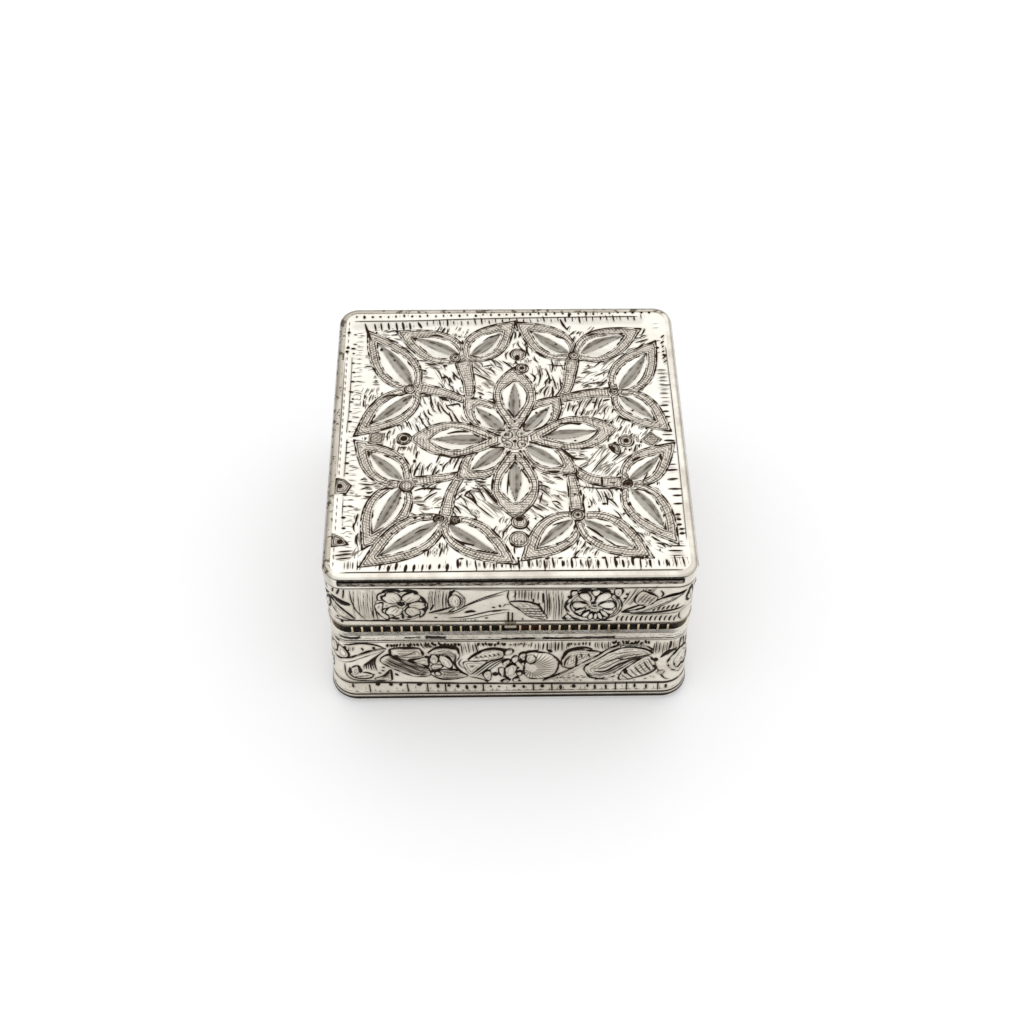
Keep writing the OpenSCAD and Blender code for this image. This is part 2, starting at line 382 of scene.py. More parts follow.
    def clear(self, spot, side):
        """A figure covers what was cut before it."""
        for marks in (self.cut, self.grain, self.comb, self.faint):
            marks[spot] = np.maximum(marks[spot], -side)
        self.free[spot] = np.minimum(self.free[spot], side)

    def outline(self, spot, side, line):
        """The graver bites unevenly, so a line swells and thins along its way."""
        bite = line / 2 * np.clip(1 + 14 * self.shake[spot], 0.65, 2.8)
        self.cut[spot] = np.minimum(self.cut[spot], np.abs(side) - bite)

    def free_at(self, x, y):
        """Distance from a point to the nearest figure."""
        row = min(np.searchsorted(self.rows, y), len(self.rows) - 1)
        return self.free[row, min(np.searchsorted(self.columns, x), len(self.columns) - 1)]

    def almond(self, spot, root, tip, half, bow=0.0, swell=(0.78, 1.15)):
        """Signed distance to a pointed leaf, and the place along and across it."""
        length = np.hypot(tip[0] - root[0], tip[1] - root[1])
        tx, ty = (tip[0] - root[0]) / length, (tip[1] - root[1]) / length
        x, y = self.x[spot] - root[0], self.y[spot] - root[1]
        along = (x * tx + y * ty) / length
        across = y * tx - x * ty
        t = np.clip(along, 0.0, 1.0)
        lean = across - bow * 4 * t * (1 - t)
        a, b = swell
        peak = (a / (a + b)) ** a * (b / (a + b)) ** b
        wide = half * t**a * (1 - t)**b / peak
        slope = half / length * np.abs(a * (1 - t) - b * t) / peak
        side = (np.abs(lean) - wide) / np.sqrt(1 + slope**2)
        past = np.maximum(-along, along - 1) * length
        side = np.where(past > 0, np.hypot(past, np.abs(lean)), side)
        return side, along * length, lean

    def leaf(self, root, tip, half, rim=1.26, back=1.2, swell=(0.78, 1.15), lean=0.0, blade=0.42, line=0.19, bow=0.0):
        """A leaf of the lid: a stippled rim round a hollow almond with a combed blade, greyed with painted shade."""
        spot = self.window([root, tip], half + 0.9)
        shake = self.shake[spot]
        side, along, _ = self.almond(spot, root, tip, half, bow, swell)
        side = side + shake
        length = np.hypot(tip[0] - root[0], tip[1] - root[1])
        tx, ty = (tip[0] - root[0]) / length, (tip[1] - root[1]) / length
        front = rim * 2.3
        in_root = (root[0] + tx * back, root[1] + ty * back)
        in_tip = (tip[0] - tx * front, tip[1] - ty * front)
        inner, _, _ = self.almond(spot, in_root, in_tip, half - rim, bow * 0.8, swell)
        inner = inner + shake * 0.8
        shift = lean * (half - rim)
        core_root = (in_root[0] + tx * 0.15, in_root[1] + ty * 0.15)
        core_tip = (in_tip[0] - tx * 0.35, in_tip[1] - ty * 0.35)
        core, _, offset = self.almond(spot, core_root, core_tip, (half - rim) * blade, bow * 0.8 + shift)
        core = np.maximum(core, inner + 0.12)
        self.clear(spot, side)
        within = side < 0
        rim_side = np.maximum(side, -inner)
        self.grain[spot] = np.where(within, rim_side, self.grain[spot])
        self.comb[spot] = np.minimum(self.comb[spot], core)
        self.outline(spot, side, line)
        bite = np.clip(1 + 14 * shake, 0.4, 3.4)
        marks = np.where(within, np.abs(inner) - line * 0.4 * bite, 1.0)
        blade_line = np.where(inner < -0.1, np.abs(core) - line * 0.22 * bite[::-1], 1.0)
        self.cut[spot] = np.minimum(self.cut[spot], np.minimum(marks, blade_line))
        self.rake[spot] = np.where(within, np.where(core < 0.1, offset, along), self.rake[spot])
        # The blade and the hollow round it are greyed with painted shade, darkest along a spine set to one side, as a
        # hollow polished leaf reflects dark surroundings.
        across = offset / ((half - rim) * blade) * (1 if lean >= 0 else -1)
        spine = np.exp(-(((across - 0.2) / 0.34) ** 2)) * np.clip(0.75 + 9 * shake, 0.3, 1.2)
        shade = np.where(core < 0, 0.58 + 0.4 * spine + 0.08 * np.clip(across, 0, 1), 0)
        shade = np.where((core >= 0) & (inner < 0), 0.3 * np.clip(1 - core / 0.3, 0, 1), shade)
        shade = np.where(rim_side < 0, 0, shade)
        hollow = np.clip(-inner / (half - rim), 0, 1)
        ridge = np.clip(-core / ((half - rim) * blade), 0, 1)
        sink = -0.05 * np.clip(-rim_side / 0.12, 0, 1) - 0.17 * hollow**0.7 + 0.15 * ridge**0.8
        self.rise[spot] = np.where(within, sink, self.rise[spot])
        self.tone[spot] = np.where(within, shade, self.tone[spot])

    def stem(self, points, first, last, line=0.19):
        """A stippled stem, wider at its outer end."""
        path = smooth_line(points)
        spot = self.window(path, 1.8)
        gap, place, run = self.follow(spot, path)
        side = gap - (first + (last - first) * place / run) * 0.56 + self.shake[spot]
        self.clear(spot, side)
        within = side < 0
        self.grain[spot] = np.where(within, side, self.grain[spot])
        self.outline(spot, side, line)
        self.rake[spot] = np.where(within, place, self.rake[spot])
        self.tone[spot] = np.where(within, 0, self.tone[spot])
        self.rise[spot] = np.where(within, -0.05 * np.clip(-side / 0.12, 0, 1), self.rise[spot])

    def disc(self, at, r, hole=0.0, line=0.2):
        """A small round boss, with a punched eye where it has one."""
        spot = self.window([at], r + 0.9)
        side = np.hypot(self.x[spot] - at[0], self.y[spot] - at[1]) - r + self.shake[spot] * 0.4
        self.clear(spot, side)
        within = side < 0
        self.grain[spot] = np.where(within, side, self.grain[spot])
        if line:
            self.outline(spot, side, line)
        self.tone[spot] = np.where(within, 0.1, self.tone[spot])
        self.rake[spot] = np.where(within, self.x[spot], self.rake[spot])
        self.rise[spot] = np.where(within, 0.1 * np.clip(-side / r, 0, 1), self.rise[spot])
        if hole:
            self.cut[spot] = np.minimum(self.cut[spot], side + r - hole)
            self.cut[spot] = np.minimum(self.cut[spot], np.abs(side + (r - hole) * 0.5) - line / 4)

    def figure(self, points, line=0.18, high=0.08, tone=0.0, comb=None, soft=0.35, steps=5, smooth=True, lined=True):
        """A chased figure with a smooth closed outline. It returns its field, for cuts that stay inside it."""
        path = smooth_line(points, True, steps) if smooth else np.array(list(points) + [points[0]], float)
        spot = self.window(path, 0.8)
        gap, _, _ = self.follow(spot, path)
        x, y = self.x[spot], self.y[spot]
        inside = np.zeros(x.shape, bool)
        for a, b in zip(path[:-1], path[1:]):
            crosses = (a[1] > y) != (b[1] > y)
            rise = b[1] - a[1]
            reach = a[0] + (y - a[1]) * (b[0] - a[0]) / (rise if abs(rise) > 1e-12 else 1e-12)
            inside ^= crosses & (x < reach)
        side = np.where(inside, -gap, gap) + self.shake[spot] * 0.5
        self.clear(spot, side)
        within = side < 0
        self.outline(spot, side, line)
        self.grain[spot] = np.where(within, side if lined else 0.0, self.grain[spot])
        self.rise[spot] = np.where(within, high * np.clip(-side / soft, 0, 1)**0.6, self.rise[spot])
        self.tone[spot] = np.where(within, tone, self.tone[spot])
        if comb is not None:
            angle = np.radians(comb)
            self.comb[spot] = np.minimum(self.comb[spot], side)
            self.rake[spot] = np.where(within, y * np.cos(angle) - x * np.sin(angle), self.rake[spot])
        field = np.full(self.x.shape, 9.0)
        field[spot] = side
        return field

    def rib(self, points, wide, high=0.12, line=0.16, shadow=0.0):
        """A raised stem with rounded back."""
        path = smooth_line(points)
        spot = self.window(path, wide / 2 + 0.8)
        gap, place, run = self.follow(spot, path)
        ends = np.clip(np.minimum(place, run - place) / (0.18 * run), 0, 1)
        side = gap - wide / 2 * (0.35 + 0.65 * ends**0.6)
        if shadow:
            low = np.hypot(0, gap) - wide / 2 - shadow
            below = self.y[spot] < np.interp(self.x[spot], np.sort(path[:, 0]), path[np.argsort(path[:, 0]), 1])
            self.cut[spot] = np.minimum(self.cut[spot], np.where(below, low, 1.0))
        self.clear(spot, side)
        within = side < 0
        self.outline(spot, side, line)
        self.rise[spot] = np.where(within, high * np.clip(-side / (wide / 2), 0, 1)**0.6, self.rise[spot])
        self.tone[spot] = np.where(within, 0.0, self.tone[spot])


def draw_base_band(wall, side):
    """The base's band of scrolling leaves over its border, with x along the side and y the height on the box."""
    # Rows of small marks and bars under the mouth.
    for first, last in ((-17.2, -12.2), (-11.9, -7.2), (-4.4, -0.4), (14.4, 19.8)):
        for x in np.arange(first, last, 0.46):
            y = wall.chance.uniform(13.6, 14.0)
            wall.stroke([(x, y + 0.45), (x + wall.chance.uniform(-0.2, 0.25), y - 0.3)], wall.chance.uniform(0.24, 0.42), 0.3)
            wall.scratch([(x - 0.24, 14.4), (x - 0.2, 13.2)], 0.13)
    wall.hatch((0.1, 13.7), (0.32, 0.0), 10, (0.1, 1), 0.8, 0.16, ragged=0.6)
    wall.hatch((5.2, 13.3), (0.55, 0.0), 6, (0.03, 1), 2.0, 0.2, ragged=0.3)
    wall.hatch((-6.9, 12.9), (0.55, 0.05), 5, (-0.12, 1), 2.6, 0.17, ragged=0.3)
    wall.hatch((-12.4, 13.4), (0.4, 0.1), 4, (-0.6, 1), 1.2, 0.2)
    wall.hatch((8.2, 13.7), (0.5, 0.0), 7, (0.0, 1), 0.8, 0.24, ragged=0.3)
    wall.hatch((12.0, 13.2), (0.5, 0.0), 5, (-0.1, 1), 1.7, 0.18, bow=0.1)
    wall.hatch((20.3, 12.6), (0.46, 0.0), 9, (0.02, 1), 3.0, 0.17, ragged=0.2)
    wall.hatch((-24.2, 13.2), (0.4, 0.0), 6, (0.1, 1), 1.0, 0.16)
    wall.stroke([(22.7, 14.2), (22.7, 12.6)], 0.3)
    wall.stroke([(24.2, 14.2), (24.0, 12.7)], 0.3)
    wall.hatch((3.6, 13.2), (0.5, 0.0), 4, (0.04, 1), 1.6, 0.2, ragged=0.15)
    wall.stroke([(-25, 14.55), (0, 14.6), (25, 14.55)], 0.13, 0.01)
    # Heavy arches over the leaves.
    for points, wide in ([(-23.3, 13.9), (-21.0, 14.35), (-19.0, 13.95), (-17.8, 13.2)], 0.42), ([(-16.9, 12.9), (-16.0, 13.15), (-13.2, 13.1), (-12.5, 12.4)], 0.44), \
            ([(-11.6, 12.0), (-10.2, 13.2), (-8.6, 13.5), (-7.6, 13.1), (-7.2, 12.2)], 0.56), ([(-6.0, 10.2), (-5.2, 11.3), (-4.0, 12.3), (-2.5, 12.9), (-0.3, 12.6)], 0.44), \
            ([(7.5, 10.5), (8.1, 12.0), (9.4, 12.7), (10.6, 12.85), (11.6, 12.5)], 0.6), ([(2.3, 12.1), (3.2, 12.1), (4.0, 12.3)], 0.5), ([(5.4, 12.4), (5.9, 11.8)], 0.6):
        wall.stroke(points, wide, 0.3)
    wall.dots((-24.2, 14.4), (-19.2, 13.2), r=0.26)
    # Left: drop, stem and the curved cuts under it.
    drop = wall.figure([(-24.2, 13.2), (-23.4, 13.1), (-22.8, 12.2), (-22.9, 11.1), (-23.7, 10.8), (-24.4, 11.6)], 0.2)
    wall.stroke([(-23.6, 13.2), (-22.95, 12.3), (-22.85, 11.4), (-23.2, 10.9)], 0.32)
    wall.stroke([(-20.9, 13.3), (-20.7, 12.6)], 0.3)
    for k in range(6):
        wall.stroke([(-17.7 - 0.25 * k, 12.5 - 0.25 * k), (-18.9 - 0.25 * k, 11.1 - 0.25 * k), (-19.3 - 0.3 * k, 9.6 - 0.1 * k), (-19.1 - 0.36 * k, 7.7 + 0.1 * k)], 0.2 if k % 2 else 0.28, 0.3)
    wall.rib([(-25, 9.7), (-24.0, 9.9), (-22.0, 10.9), (-19.8, 12.1), (-17.7, 12.95)], 0.85, high=0.2, line=0.2)
    wall.scratch([(-24.0, 9.75), (-21.9, 10.7), (-19.0, 12.2)], 0.14, True)
    wall.stroke([(-23.6, 9.2), (-23.6, 6.9), (-23.0, 5.8), (-21.5, 5.3), (-18.7, 5.15), (-17.1, 5.3)], 0.24, 0.1)
    wall.stroke([(-22.9, 8.6), (-23.1, 7.2), (-22.5, 6.2), (-21.2, 5.75), (-20.0, 6.0), (-19.5, 6.9)], 0.3, 0.2)
    oval = wall.figure([(-22.7, 7.2), (-22.7, 8.4), (-21.9, 9.1), (-21.5, 8.5), (-21.7, 7.5), (-22.2, 6.9)], 0.2, high=0.2)
    wall.stroke([(-21.6, 8.6), (-21.4, 7.9), (-21.5, 7.2)], 0.5, 0.3)
    wall.stroke([(-21.2, 7.4), (-20.4, 7.2), (-19.6, 6.7)], 0.36)
    wall.hatch((-21.9, 6.4), (0.5, 0.0), 4, (1, 0.3), 0.7, 0.12)
    for x, y in ((-18.3, 8.6), (-18.9, 7.2), (-18.4, 7.8)):
        wall.stroke([(x, y), (x + 0.4, y - 0.2)], 0.3)
    hook = wall.figure([(-17.1, 7.9), (-17.1, 5.4), (-18.4, 5.35), (-19.5, 5.7), (-18.0, 6.6)], 0.22, high=0.12)
    wall.stroke([(-17.05, 8.0), (-17.0, 5.3)], 0.34, 0.2)
    wall.stroke([(-17.2, 7.2), (-17.9, 6.3), (-18.8, 5.8)], 0.13, inside=hook)
    # Long leaf with wavy cuts, and the lobes over it.
    wing = wall.figure([(-18.4, 10.0), (-18.1, 11.0), (-17.1, 11.6), (-15.9, 10.7), (-13.9, 9.8), (-12.1, 9.0), (-11.5, 7.6), (-11.6, 6.4), (-13.6, 6.2), (-15.2, 7.1), (-17.1, 8.5)], 0.26, high=0.12, tone=0.06, lined=False)
    for k in range(10):
        v = 0.27 * k
        line = [(-17.9 + 0.4 * v, 10.0 + 0.7 * v), (-16.8 + 0.5 * v, 8.9 + 0.72 * v), (-15.2 + 0.5 * v, 7.8 + 0.76 * v), (-13.5 + 0.5 * v, 6.7 + 0.8 * v), (-11.9 + 0.2 * v, 6.5 + 0.8 * v)]
        wave = [(x + 0.12 * np.sin(5 * x + k), y + 0.1 * np.cos(6 * x)) for x, y in line]
        wall.stroke(wave, 0.12 + 0.05 * (k % 2), 0.1, inside=wing)
        wall.scratch([(x, y + 0.13) for x, y in wave], 0.1, True, wing)
    wall.stroke([(-16.5, 7.0), (-16.1, 6.4)], 0.4)
    lobe = wall.figure([(-16.9, 12.9), (-15.0, 13.1), (-13.0, 13.0), (-12.4, 12.0), (-12.5, 11.2), (-14.2, 10.9), (-15.9, 11.1), (-16.9, 11.7)], 0.22, high=0.18, soft=0.6)
    wall.stroke([(-16.0, 11.4), (-14.6, 11.7), (-13.3, 12.5)], 0.2, inside=lobe)
    wall.stroke([(-16.3, 11.7), (-15.9, 11.3)], 0.5)
    lower = wall.figure([(-14.4, 10.3), (-13.0, 10.6), (-11.8, 11.0), (-11.6, 9.9), (-11.7, 8.9), (-12.9, 9.4)], 0.22, high=0.16, soft=0.6)
    for a, b, wide in (((-12.1, 11.1), (-11.6, 10.9), 0.5), ((-11.5, 9.1), (-11.9, 8.2), 0.34), ((-11.2, 7.7), (-11.0, 7.0), 0.8), ((-16.9, 12.8), (-16.9, 11.8), 0.3), ((-12.5, 12.4), (-12.3, 11.5), 0.4)):
        wall.stroke([a, b], wide, 0.25)
    # Bud of lobes over a shell.
    shell = wall.figure([(-11.4, 6.9), (-10.4, 7.6), (-9.0, 7.9), (-7.4, 7.7), (-6.7, 7.0), (-6.1, 6.2), (-7.6, 5.6), (-9.4, 5.5), (-10.6, 6.0)], 0.24, high=0.1)
    for y in (5.9, 6.3, 6.7, 7.1, 7.5):
        wall.stroke([(-9.9, y), (-8.4, y + 0.1), (-6.8, y - 0.1)], 0.16, 0.3, inside=shell)
    for points in ([(-11.6, 11.9), (-10.4, 13.0), (-8.8, 13.2), (-7.5, 12.5), (-7.2, 11.0), (-8.0, 9.6), (-9.0, 11.4), (-10.4, 11.6)],
                   [(-11.5, 10.6), (-11.0, 11.6), (-10.3, 11.1), (-10.2, 9.9), (-10.8, 9.3), (-11.4, 9.7)],
                   [(-10.0, 11.4), (-9.0, 11.0), (-8.2, 9.7), (-8.5, 8.1), (-9.5, 8.9), (-10.1, 10.2)],
                   [(-11.3, 8.6), (-10.9, 9.2), (-10.0, 9.1), (-9.6, 8.5), (-10.4, 7.9), (-11.1, 8.0)],
                   [(-10.8, 7.3), (-10.4, 7.6), (-9.9, 7.0), (-10.1, 6.4), (-10.7, 6.6)]):
        lobe = wall.figure(points, 0.22, high=0.18, soft=0.4)
    for k in range(3):
        wall.stroke([(-10.2, 12.4 - 0.4 * k), (-8.9, 12.5 - 0.4 * k), (-7.9, 11.8 - 0.4 * k), (-7.6, 10.6)], 0.14, 0.2, inside=None)
    wall.stroke([(-8.6, 8.4), (-8.3, 7.9)], 0.5)
    wall.stroke([(-11.3, 6.5), (-9.8, 5.4), (-7.8, 5.5), (-6.1, 6.1)], 0.26, 0.1)
    wall.stroke([(-7.8, 11.0), (-7.85, 9.0), (-7.1, 7.4), (-6.0, 6.3)], 0.4, 0.3)
    wall.stroke([(-6.9, 10.4), (-7.3, 9.2), (-6.7, 8.1)], 0.2)
    # Leaves left of the blossom.
    vein = wall.figure([(-5.9, 10.1), (-5.1, 11.2), (-4.0, 12.2), (-2.5, 12.7), (-1.0, 12.4), (-0.9, 11.0), (-2.2, 10.3), (-4.2, 9.9)], 0.22, high=0.16)
    for k in range(6):
        wall.stroke([(-4.9 + 0.62 * k, 11.1 + 0.16 * k), (-4.5 + 0.62 * k, 10.7 + 0.12 * k)], 0.2, 0.2, inside=vein)
        wall.scratch([(-5.2 + 0.7 * k, 10.6), (-4.6 + 0.6 * k, 11.4 + 0.14 * k)], 0.12, True, vein)
    wall.stroke([(-5.9, 10.0), (-4.4, 9.9), (-3.2, 9.8)], 0.22)
    fan = wall.figure([(-6.6, 9.6), (-5.0, 9.8), (-3.4, 9.7), (-4.4, 8.2), (-5.6, 6.6), (-6.4, 8.0)], 0.18, high=0.05, tone=0.1)
    wall.dots((-5.4, 8.6), r=0.14)
    for x, y, wide in ((0.0, 0.0, 0.34), (0.35, -0.25, 0.18), (0.8, -0.45, 0.22), (1.25, -0.6, 0.16)):
        wall.stroke([(-5.5 + x, 6.6 + y), (-4.5 + x, 7.8 + y), (-3.0 + x, 9.6 + y), (-0.9 + x * 0.3, 10.6 + y * 0.5)], wide, 0.15)
    wall.stroke([(-5.8, 6.0), (-4.4, 5.5), (-3.2, 4.8)], 0.26)
    for points in ([(-3.9, 6.9), (-3.0, 7.6), (-2.7, 6.4), (-2.9, 5.1), (-3.5, 5.4)], [(-1.6, 8.0), (-1.0, 8.2), (-0.7, 7.0), (-1.0, 5.9), (-1.5, 6.6)]):
        drop = wall.figure(points, 0.2, high=0.16)
    for a, b, wide in (((-2.1, 7.0), (-2.1, 6.2), 0.85), ((-0.9, 6.1), (-0.2, 5.6), 0.5), ((-3.6, 5.0), (-3.1, 4.7), 0.4)):
        wall.stroke([a, b], wide, 0.1)
    # Blossom of light ovals.
    for x, y, long, wide, turn in ((-0.2, 12.0, 0.85, 0.6, 60), (1.8, 11.2, 0.75, 0.5, 70), (0.7, 10.2, 0.9, 0.48, 80), (-0.5, 9.6, 0.8, 0.5, 60), (2.2, 9.0, 1.0, 0.5, -50),
                                   (0.1, 7.6, 1.7, 0.85, 78), (1.4, 6.8, 0.65, 0.45, 85), (0.9, 5.2, 0.6, 0.42, 60), (-0.6, 5.0, 0.7, 0.4, 20)):
        a = np.radians(turn)
        tx, ty = np.cos(a), np.sin(a)
        oval = wall.figure([(x + u * long * tx - v * wide * ty, y + u * long * ty + v * wide * tx)
                            for u, v in ((-1, 0), (-0.4, -0.9), (0.5, -0.85), (1, 0), (0.5, 0.85), (-0.4, 0.9))], 0.22, high=0.22, soft=0.3)
    for a, b, wide in (((1.5, 10.3), (1.5, 9.3), 0.55), ((1.2, 8.3), (1.1, 7.8), 0.4), ((0.9, 6.0), (1.1, 5.8), 0.4), ((1.3, 4.9), (1.6, 4.7), 0.4)):
        wall.stroke([a, b], wide, 0.15)
    # Round veined leaf and its neighbour.
    side_leaf = wall.figure([(7.4, 8.6), (7.4, 10.2), (8.1, 11.6), (9.4, 12.4), (11.2, 12.2), (12.8, 11.6), (11.0, 9.8), (9.6, 8.4), (8.4, 7.9)], 0.24, high=0.16)
    for points, wide in (((8.6, 11.2), (7.9, 9.8), (7.8, 8.5)), 0.26, ), (((9.4, 11.2), (9.5, 9.8), (9.4, 8.5)), 0.34), (((10.0, 11.8), (10.3, 10.4)), 0.2), (((11.1, 11.6), (11.3, 10.8)), 0.26):
        wall.stroke(points, wide, 0.4, inside=side_leaf)
    for k in range(9):
        wall.scratch([(7.9 + 0.42 * k, 11.6 + 0.04 * k), (8.0 + 0.34 * k, 9.0 + 0.15 * k)], 0.12, True, side_leaf)
    wall.stroke([(7.6, 8.4), (8.4, 7.9), (9.0, 8.1)], 0.4)
    round_leaf = wall.figure([(2.0, 7.2), (2.6, 5.7), (3.8, 5.3), (5.3, 5.6), (6.5, 6.6), (6.9, 8.2), (6.9, 9.6), (6.3, 10.8), (5.2, 11.7), (3.8, 11.9), (2.4, 11.7), (2.2, 10.0)], 0.24, high=0.2, soft=1.4, lined=False)
    for k in range(22):
        a = np.radians(-150 + 12.5 * k)
        wall.scratch([(3.2 + 0.7 * np.cos(a), 8.2 + 0.9 * np.sin(a)), (3.9 + 2.8 * np.cos(a), 8.5 + 3.2 * np.sin(a))], 0.2, True, round_leaf)
    wall.stroke([(6.4, 10.8), (7.0, 9.6), (7.5, 8.4)], 0.34)
    curl = wall.figure([(2.2, 10.2), (2.4, 11.1), (3.2, 11.3), (3.7, 10.5), (3.4, 9.5), (2.7, 9.3)], 0.2, high=0.14, tone=0.1)
    # Big striped leaf and the shell of bars at the right.
    wall.hatch((6.8, 5.5), (0.62, 0.0), 14, (1, 0.2), 0.3, 0.2, ragged=0.8)
    for _ in range(70):
        x, y = wall.chance.uniform(6.2, 21.0), wall.chance.uniform(4.7, 6.8)
        if wall.free_at(x, y) > 0.25:
            wall.dots((x, y), r=wall.chance.uniform(0.06, 0.12))
    big = wall.figure([(10.7, 8.1), (12.6, 10.2), (14.6, 12.0), (16.6, 12.9), (18.6, 12.7), (20.2, 11.4), (18.6, 10.4), (16.6, 8.4), (14.8, 6.6), (12.6, 5.9), (11.2, 6.4)], 0.22, high=0.18, soft=0.8)
    for points, wide in (((11.4, 6.6), (13.2, 6.4), (15.0, 7.7), (17.0, 9.6), (20.0, 11.3)), 0.24), (((12.2, 7.2), (13.8, 7.3), (15.4, 8.8), (17.6, 10.2), (19.8, 11.2)), 0.4), \
            (((11.6, 8.0), (13.6, 8.2), (15.4, 9.7), (18.0, 10.9)), 0.16), (((13.0, 9.3), (15.0, 10.2), (17.4, 11.2), (19.4, 11.5)), 0.16), (((15.0, 10.4), (16.4, 10.2), (18.4, 10.9)), 0.22), (((14.6, 11.4), (16.8, 11.9), (19.0, 11.9)), 0.13):
        wall.stroke(points, wide, 0.2, inside=big)
    for k in range(8):
        wall.scratch([(11.4 + 0.5 * k, 8.4 + 0.35 * k), (12.8 + 0.45 * k, 8.6 + 0.36 * k), (14.6 + 0.4 * k, 9.9 + 0.25 * k)], 0.12, True, big)
    wall.stroke([(11.0, 6.9), (11.4, 5.8), (12.6, 5.2), (14.2, 5.0)], 0.36)
    shell = wall.figure([(15.8, 5.1), (16.2, 7.0), (17.4, 8.6), (18.8, 10.2), (19.9, 10.6), (20.8, 8.9), (20.9, 7.4), (19.8, 6.2), (18.2, 5.4), (17.0, 4.9)], 0.2, high=0.12)
    for k in range(7):
        wall.stroke([(16.1 + 0.6 * k, 6.4 + 0.62 * k), (16.6 + 0.62 * k, 5.7 + 0.5 * k), (17.3 + 0.6 * k, 5.0 + 0.44 * k)], 0.24 if k % 2 else 0.17, 0.2, inside=shell)
    wall.stroke([(16.6, 7.6), (16.7, 6.5)], 0.62, 0.3)
    wall.stroke([(20.6, 8.6), (21.0, 7.7), (20.0, 6.4), (18.3, 5.5), (17.6, 5.1)], 0.5, 0.3)
    wall.stroke([(20.8, 10.2), (20.9, 9.4)], 0.6, 0.2)
    wall.stroke([(21.2, 7.6), (21.7, 6.4), (22.4, 5.2), (23.1, 4.8)], 0.3)
    patch = wall.figure([(21.2, 6.6), (21.9, 7.2), (22.3, 6.8), (21.9, 6.1)], 0.14, tone=0.3)
    wall.rib([(4.9, 4.9), (6.8, 6.0), (8.4, 7.1), (10.2, 8.8), (12.4, 10.6), (14.2, 12.4), (15.6, 13.2), (17.4, 13.35), (18.9, 13.05), (20.1, 12.2)], 0.66, high=0.26, line=0.18)
    wall.stroke([(13.4, 11.3), (14.8, 12.5), (16.2, 12.95), (17.6, 12.95), (19.0, 12.5), (20.1, 11.7)], 0.5, 0.3)
    wedge = wall.figure([(21.5, 10.3), (21.9, 11.4), (22.6, 12.1), (23.7, 12.1), (22.9, 11.5), (22.2, 10.9)], 0.1)
    wall.cut[wedge < 0] = -0.2
    end = wall.figure([(24.4, 11.9), (23.2, 10.8), (22.6, 9.4), (22.9, 7.9), (24.0, 6.4), (24.9, 6.0), (25.2, 9.0)], 0.22, high=0.16)
    inner = wall.figure([(24.6, 11.2), (23.6, 9.9), (23.5, 8.6), (24.2, 7.2), (24.9, 8.8)], 0.18, tone=0.1)
    # Ridge, border blocks and the line over the foot.
    wall.stroke([(-24.9, 5.0), (-20, 4.95), (-10, 4.6), (0, 4.35), (10, 4.25), (24.9, 4.3)], 0.14, 0.01, over=False)
    wall.stroke([(-24.9, 4.6), (-20, 4.7), (-10, 4.35), (0, 4.1), (10, 3.95), (24.9, 4.0)], 0.28, 0.01)
    for x, y, wide, tall in ((-19.2, 4.3, 0.7, 0.7), (-17.3, 4.2, 0.6, 0.6), (-15.9, 4.1, 0.5, 0.5), (-13.2, 4.1, 0.8, 0.5), (-10.5, 3.7, 0.42, 1.0), (-8.9, 3.8, 0.5, 0.6), (-7.6, 3.6, 0.5, 0.8),
                             (-6.3, 3.3, 0.42, 1.1), (-5.1, 3.4, 0.5, 0.8), (-2.8, 3.5, 0.3, 0.4), (-1.6, 3.4, 0.3, 0.4), (0.6, 3.5, 0.5, 0.6), (2.0, 3.3, 0.42, 0.7), (4.7, 3.4, 0.6, 0.7), (7.4, 3.1, 0.42, 1.1),
                             (9.3, 3.3, 0.6, 0.8), (11.3, 3.4, 0.34, 0.7), (12.4, 3.1, 0.34, 1.1), (14.0, 3.1, 0.3, 1.1), (18.2, 3.3, 0.34, 0.9), (19.9, 3.1, 0.3, 1.1), (22.8, 3.1, 0.4, 0.9), (-22.8, 3.9, 0.34, 1.0)):
        wall.stroke([(x, y + tall / 2), (x + 0.08, y - tall / 2)], wide, 0.3)
    for x in (-20.4, -14.9, -12.0, -9.4, -3.9, 3.4, 6.1, 15.4, 17.0, 21.6):
        wall.stroke([(x, 4.3), (x + 0.1, 2.2)], 0.2, 0.1)
    for k in range(46):
        x = -24.2 + 1.07 * k + wall.chance.uniform(-0.3, 0.3)
        y = wall.chance.uniform(2.5, 3.4)
        wall.scratch([(x, y + 0.4), (x + 0.12, y - 0.4)], 0.14)
        wall.scratch([(x - 0.3, 2.6), (x + 0.6, 2.55)], 0.13)
    wall.scratch([(-25.2, 2.3), (-10, 2.25), (6, 2.4), (25.2, 2.3)], 0.14)
    wall.stroke([(-25.3, 1.82), (0, 1.78), (25.3, 1.8)], 0.32, 0.01)

CORNER = 22.3
BASE_LOW, BASE_HIGH = 1.5, 14.9
BASE_HALF_LOW, BASE_HALF_HIGH = 26.0, 25.1
SHEET_T = 0.7
CUT_DEEP = 0.07
CONTOUR_GAP = 0.46
COMB_PITCH = 0.42
MARKS = ("cut", "faint", "grain", "comb", "rake", "tone")


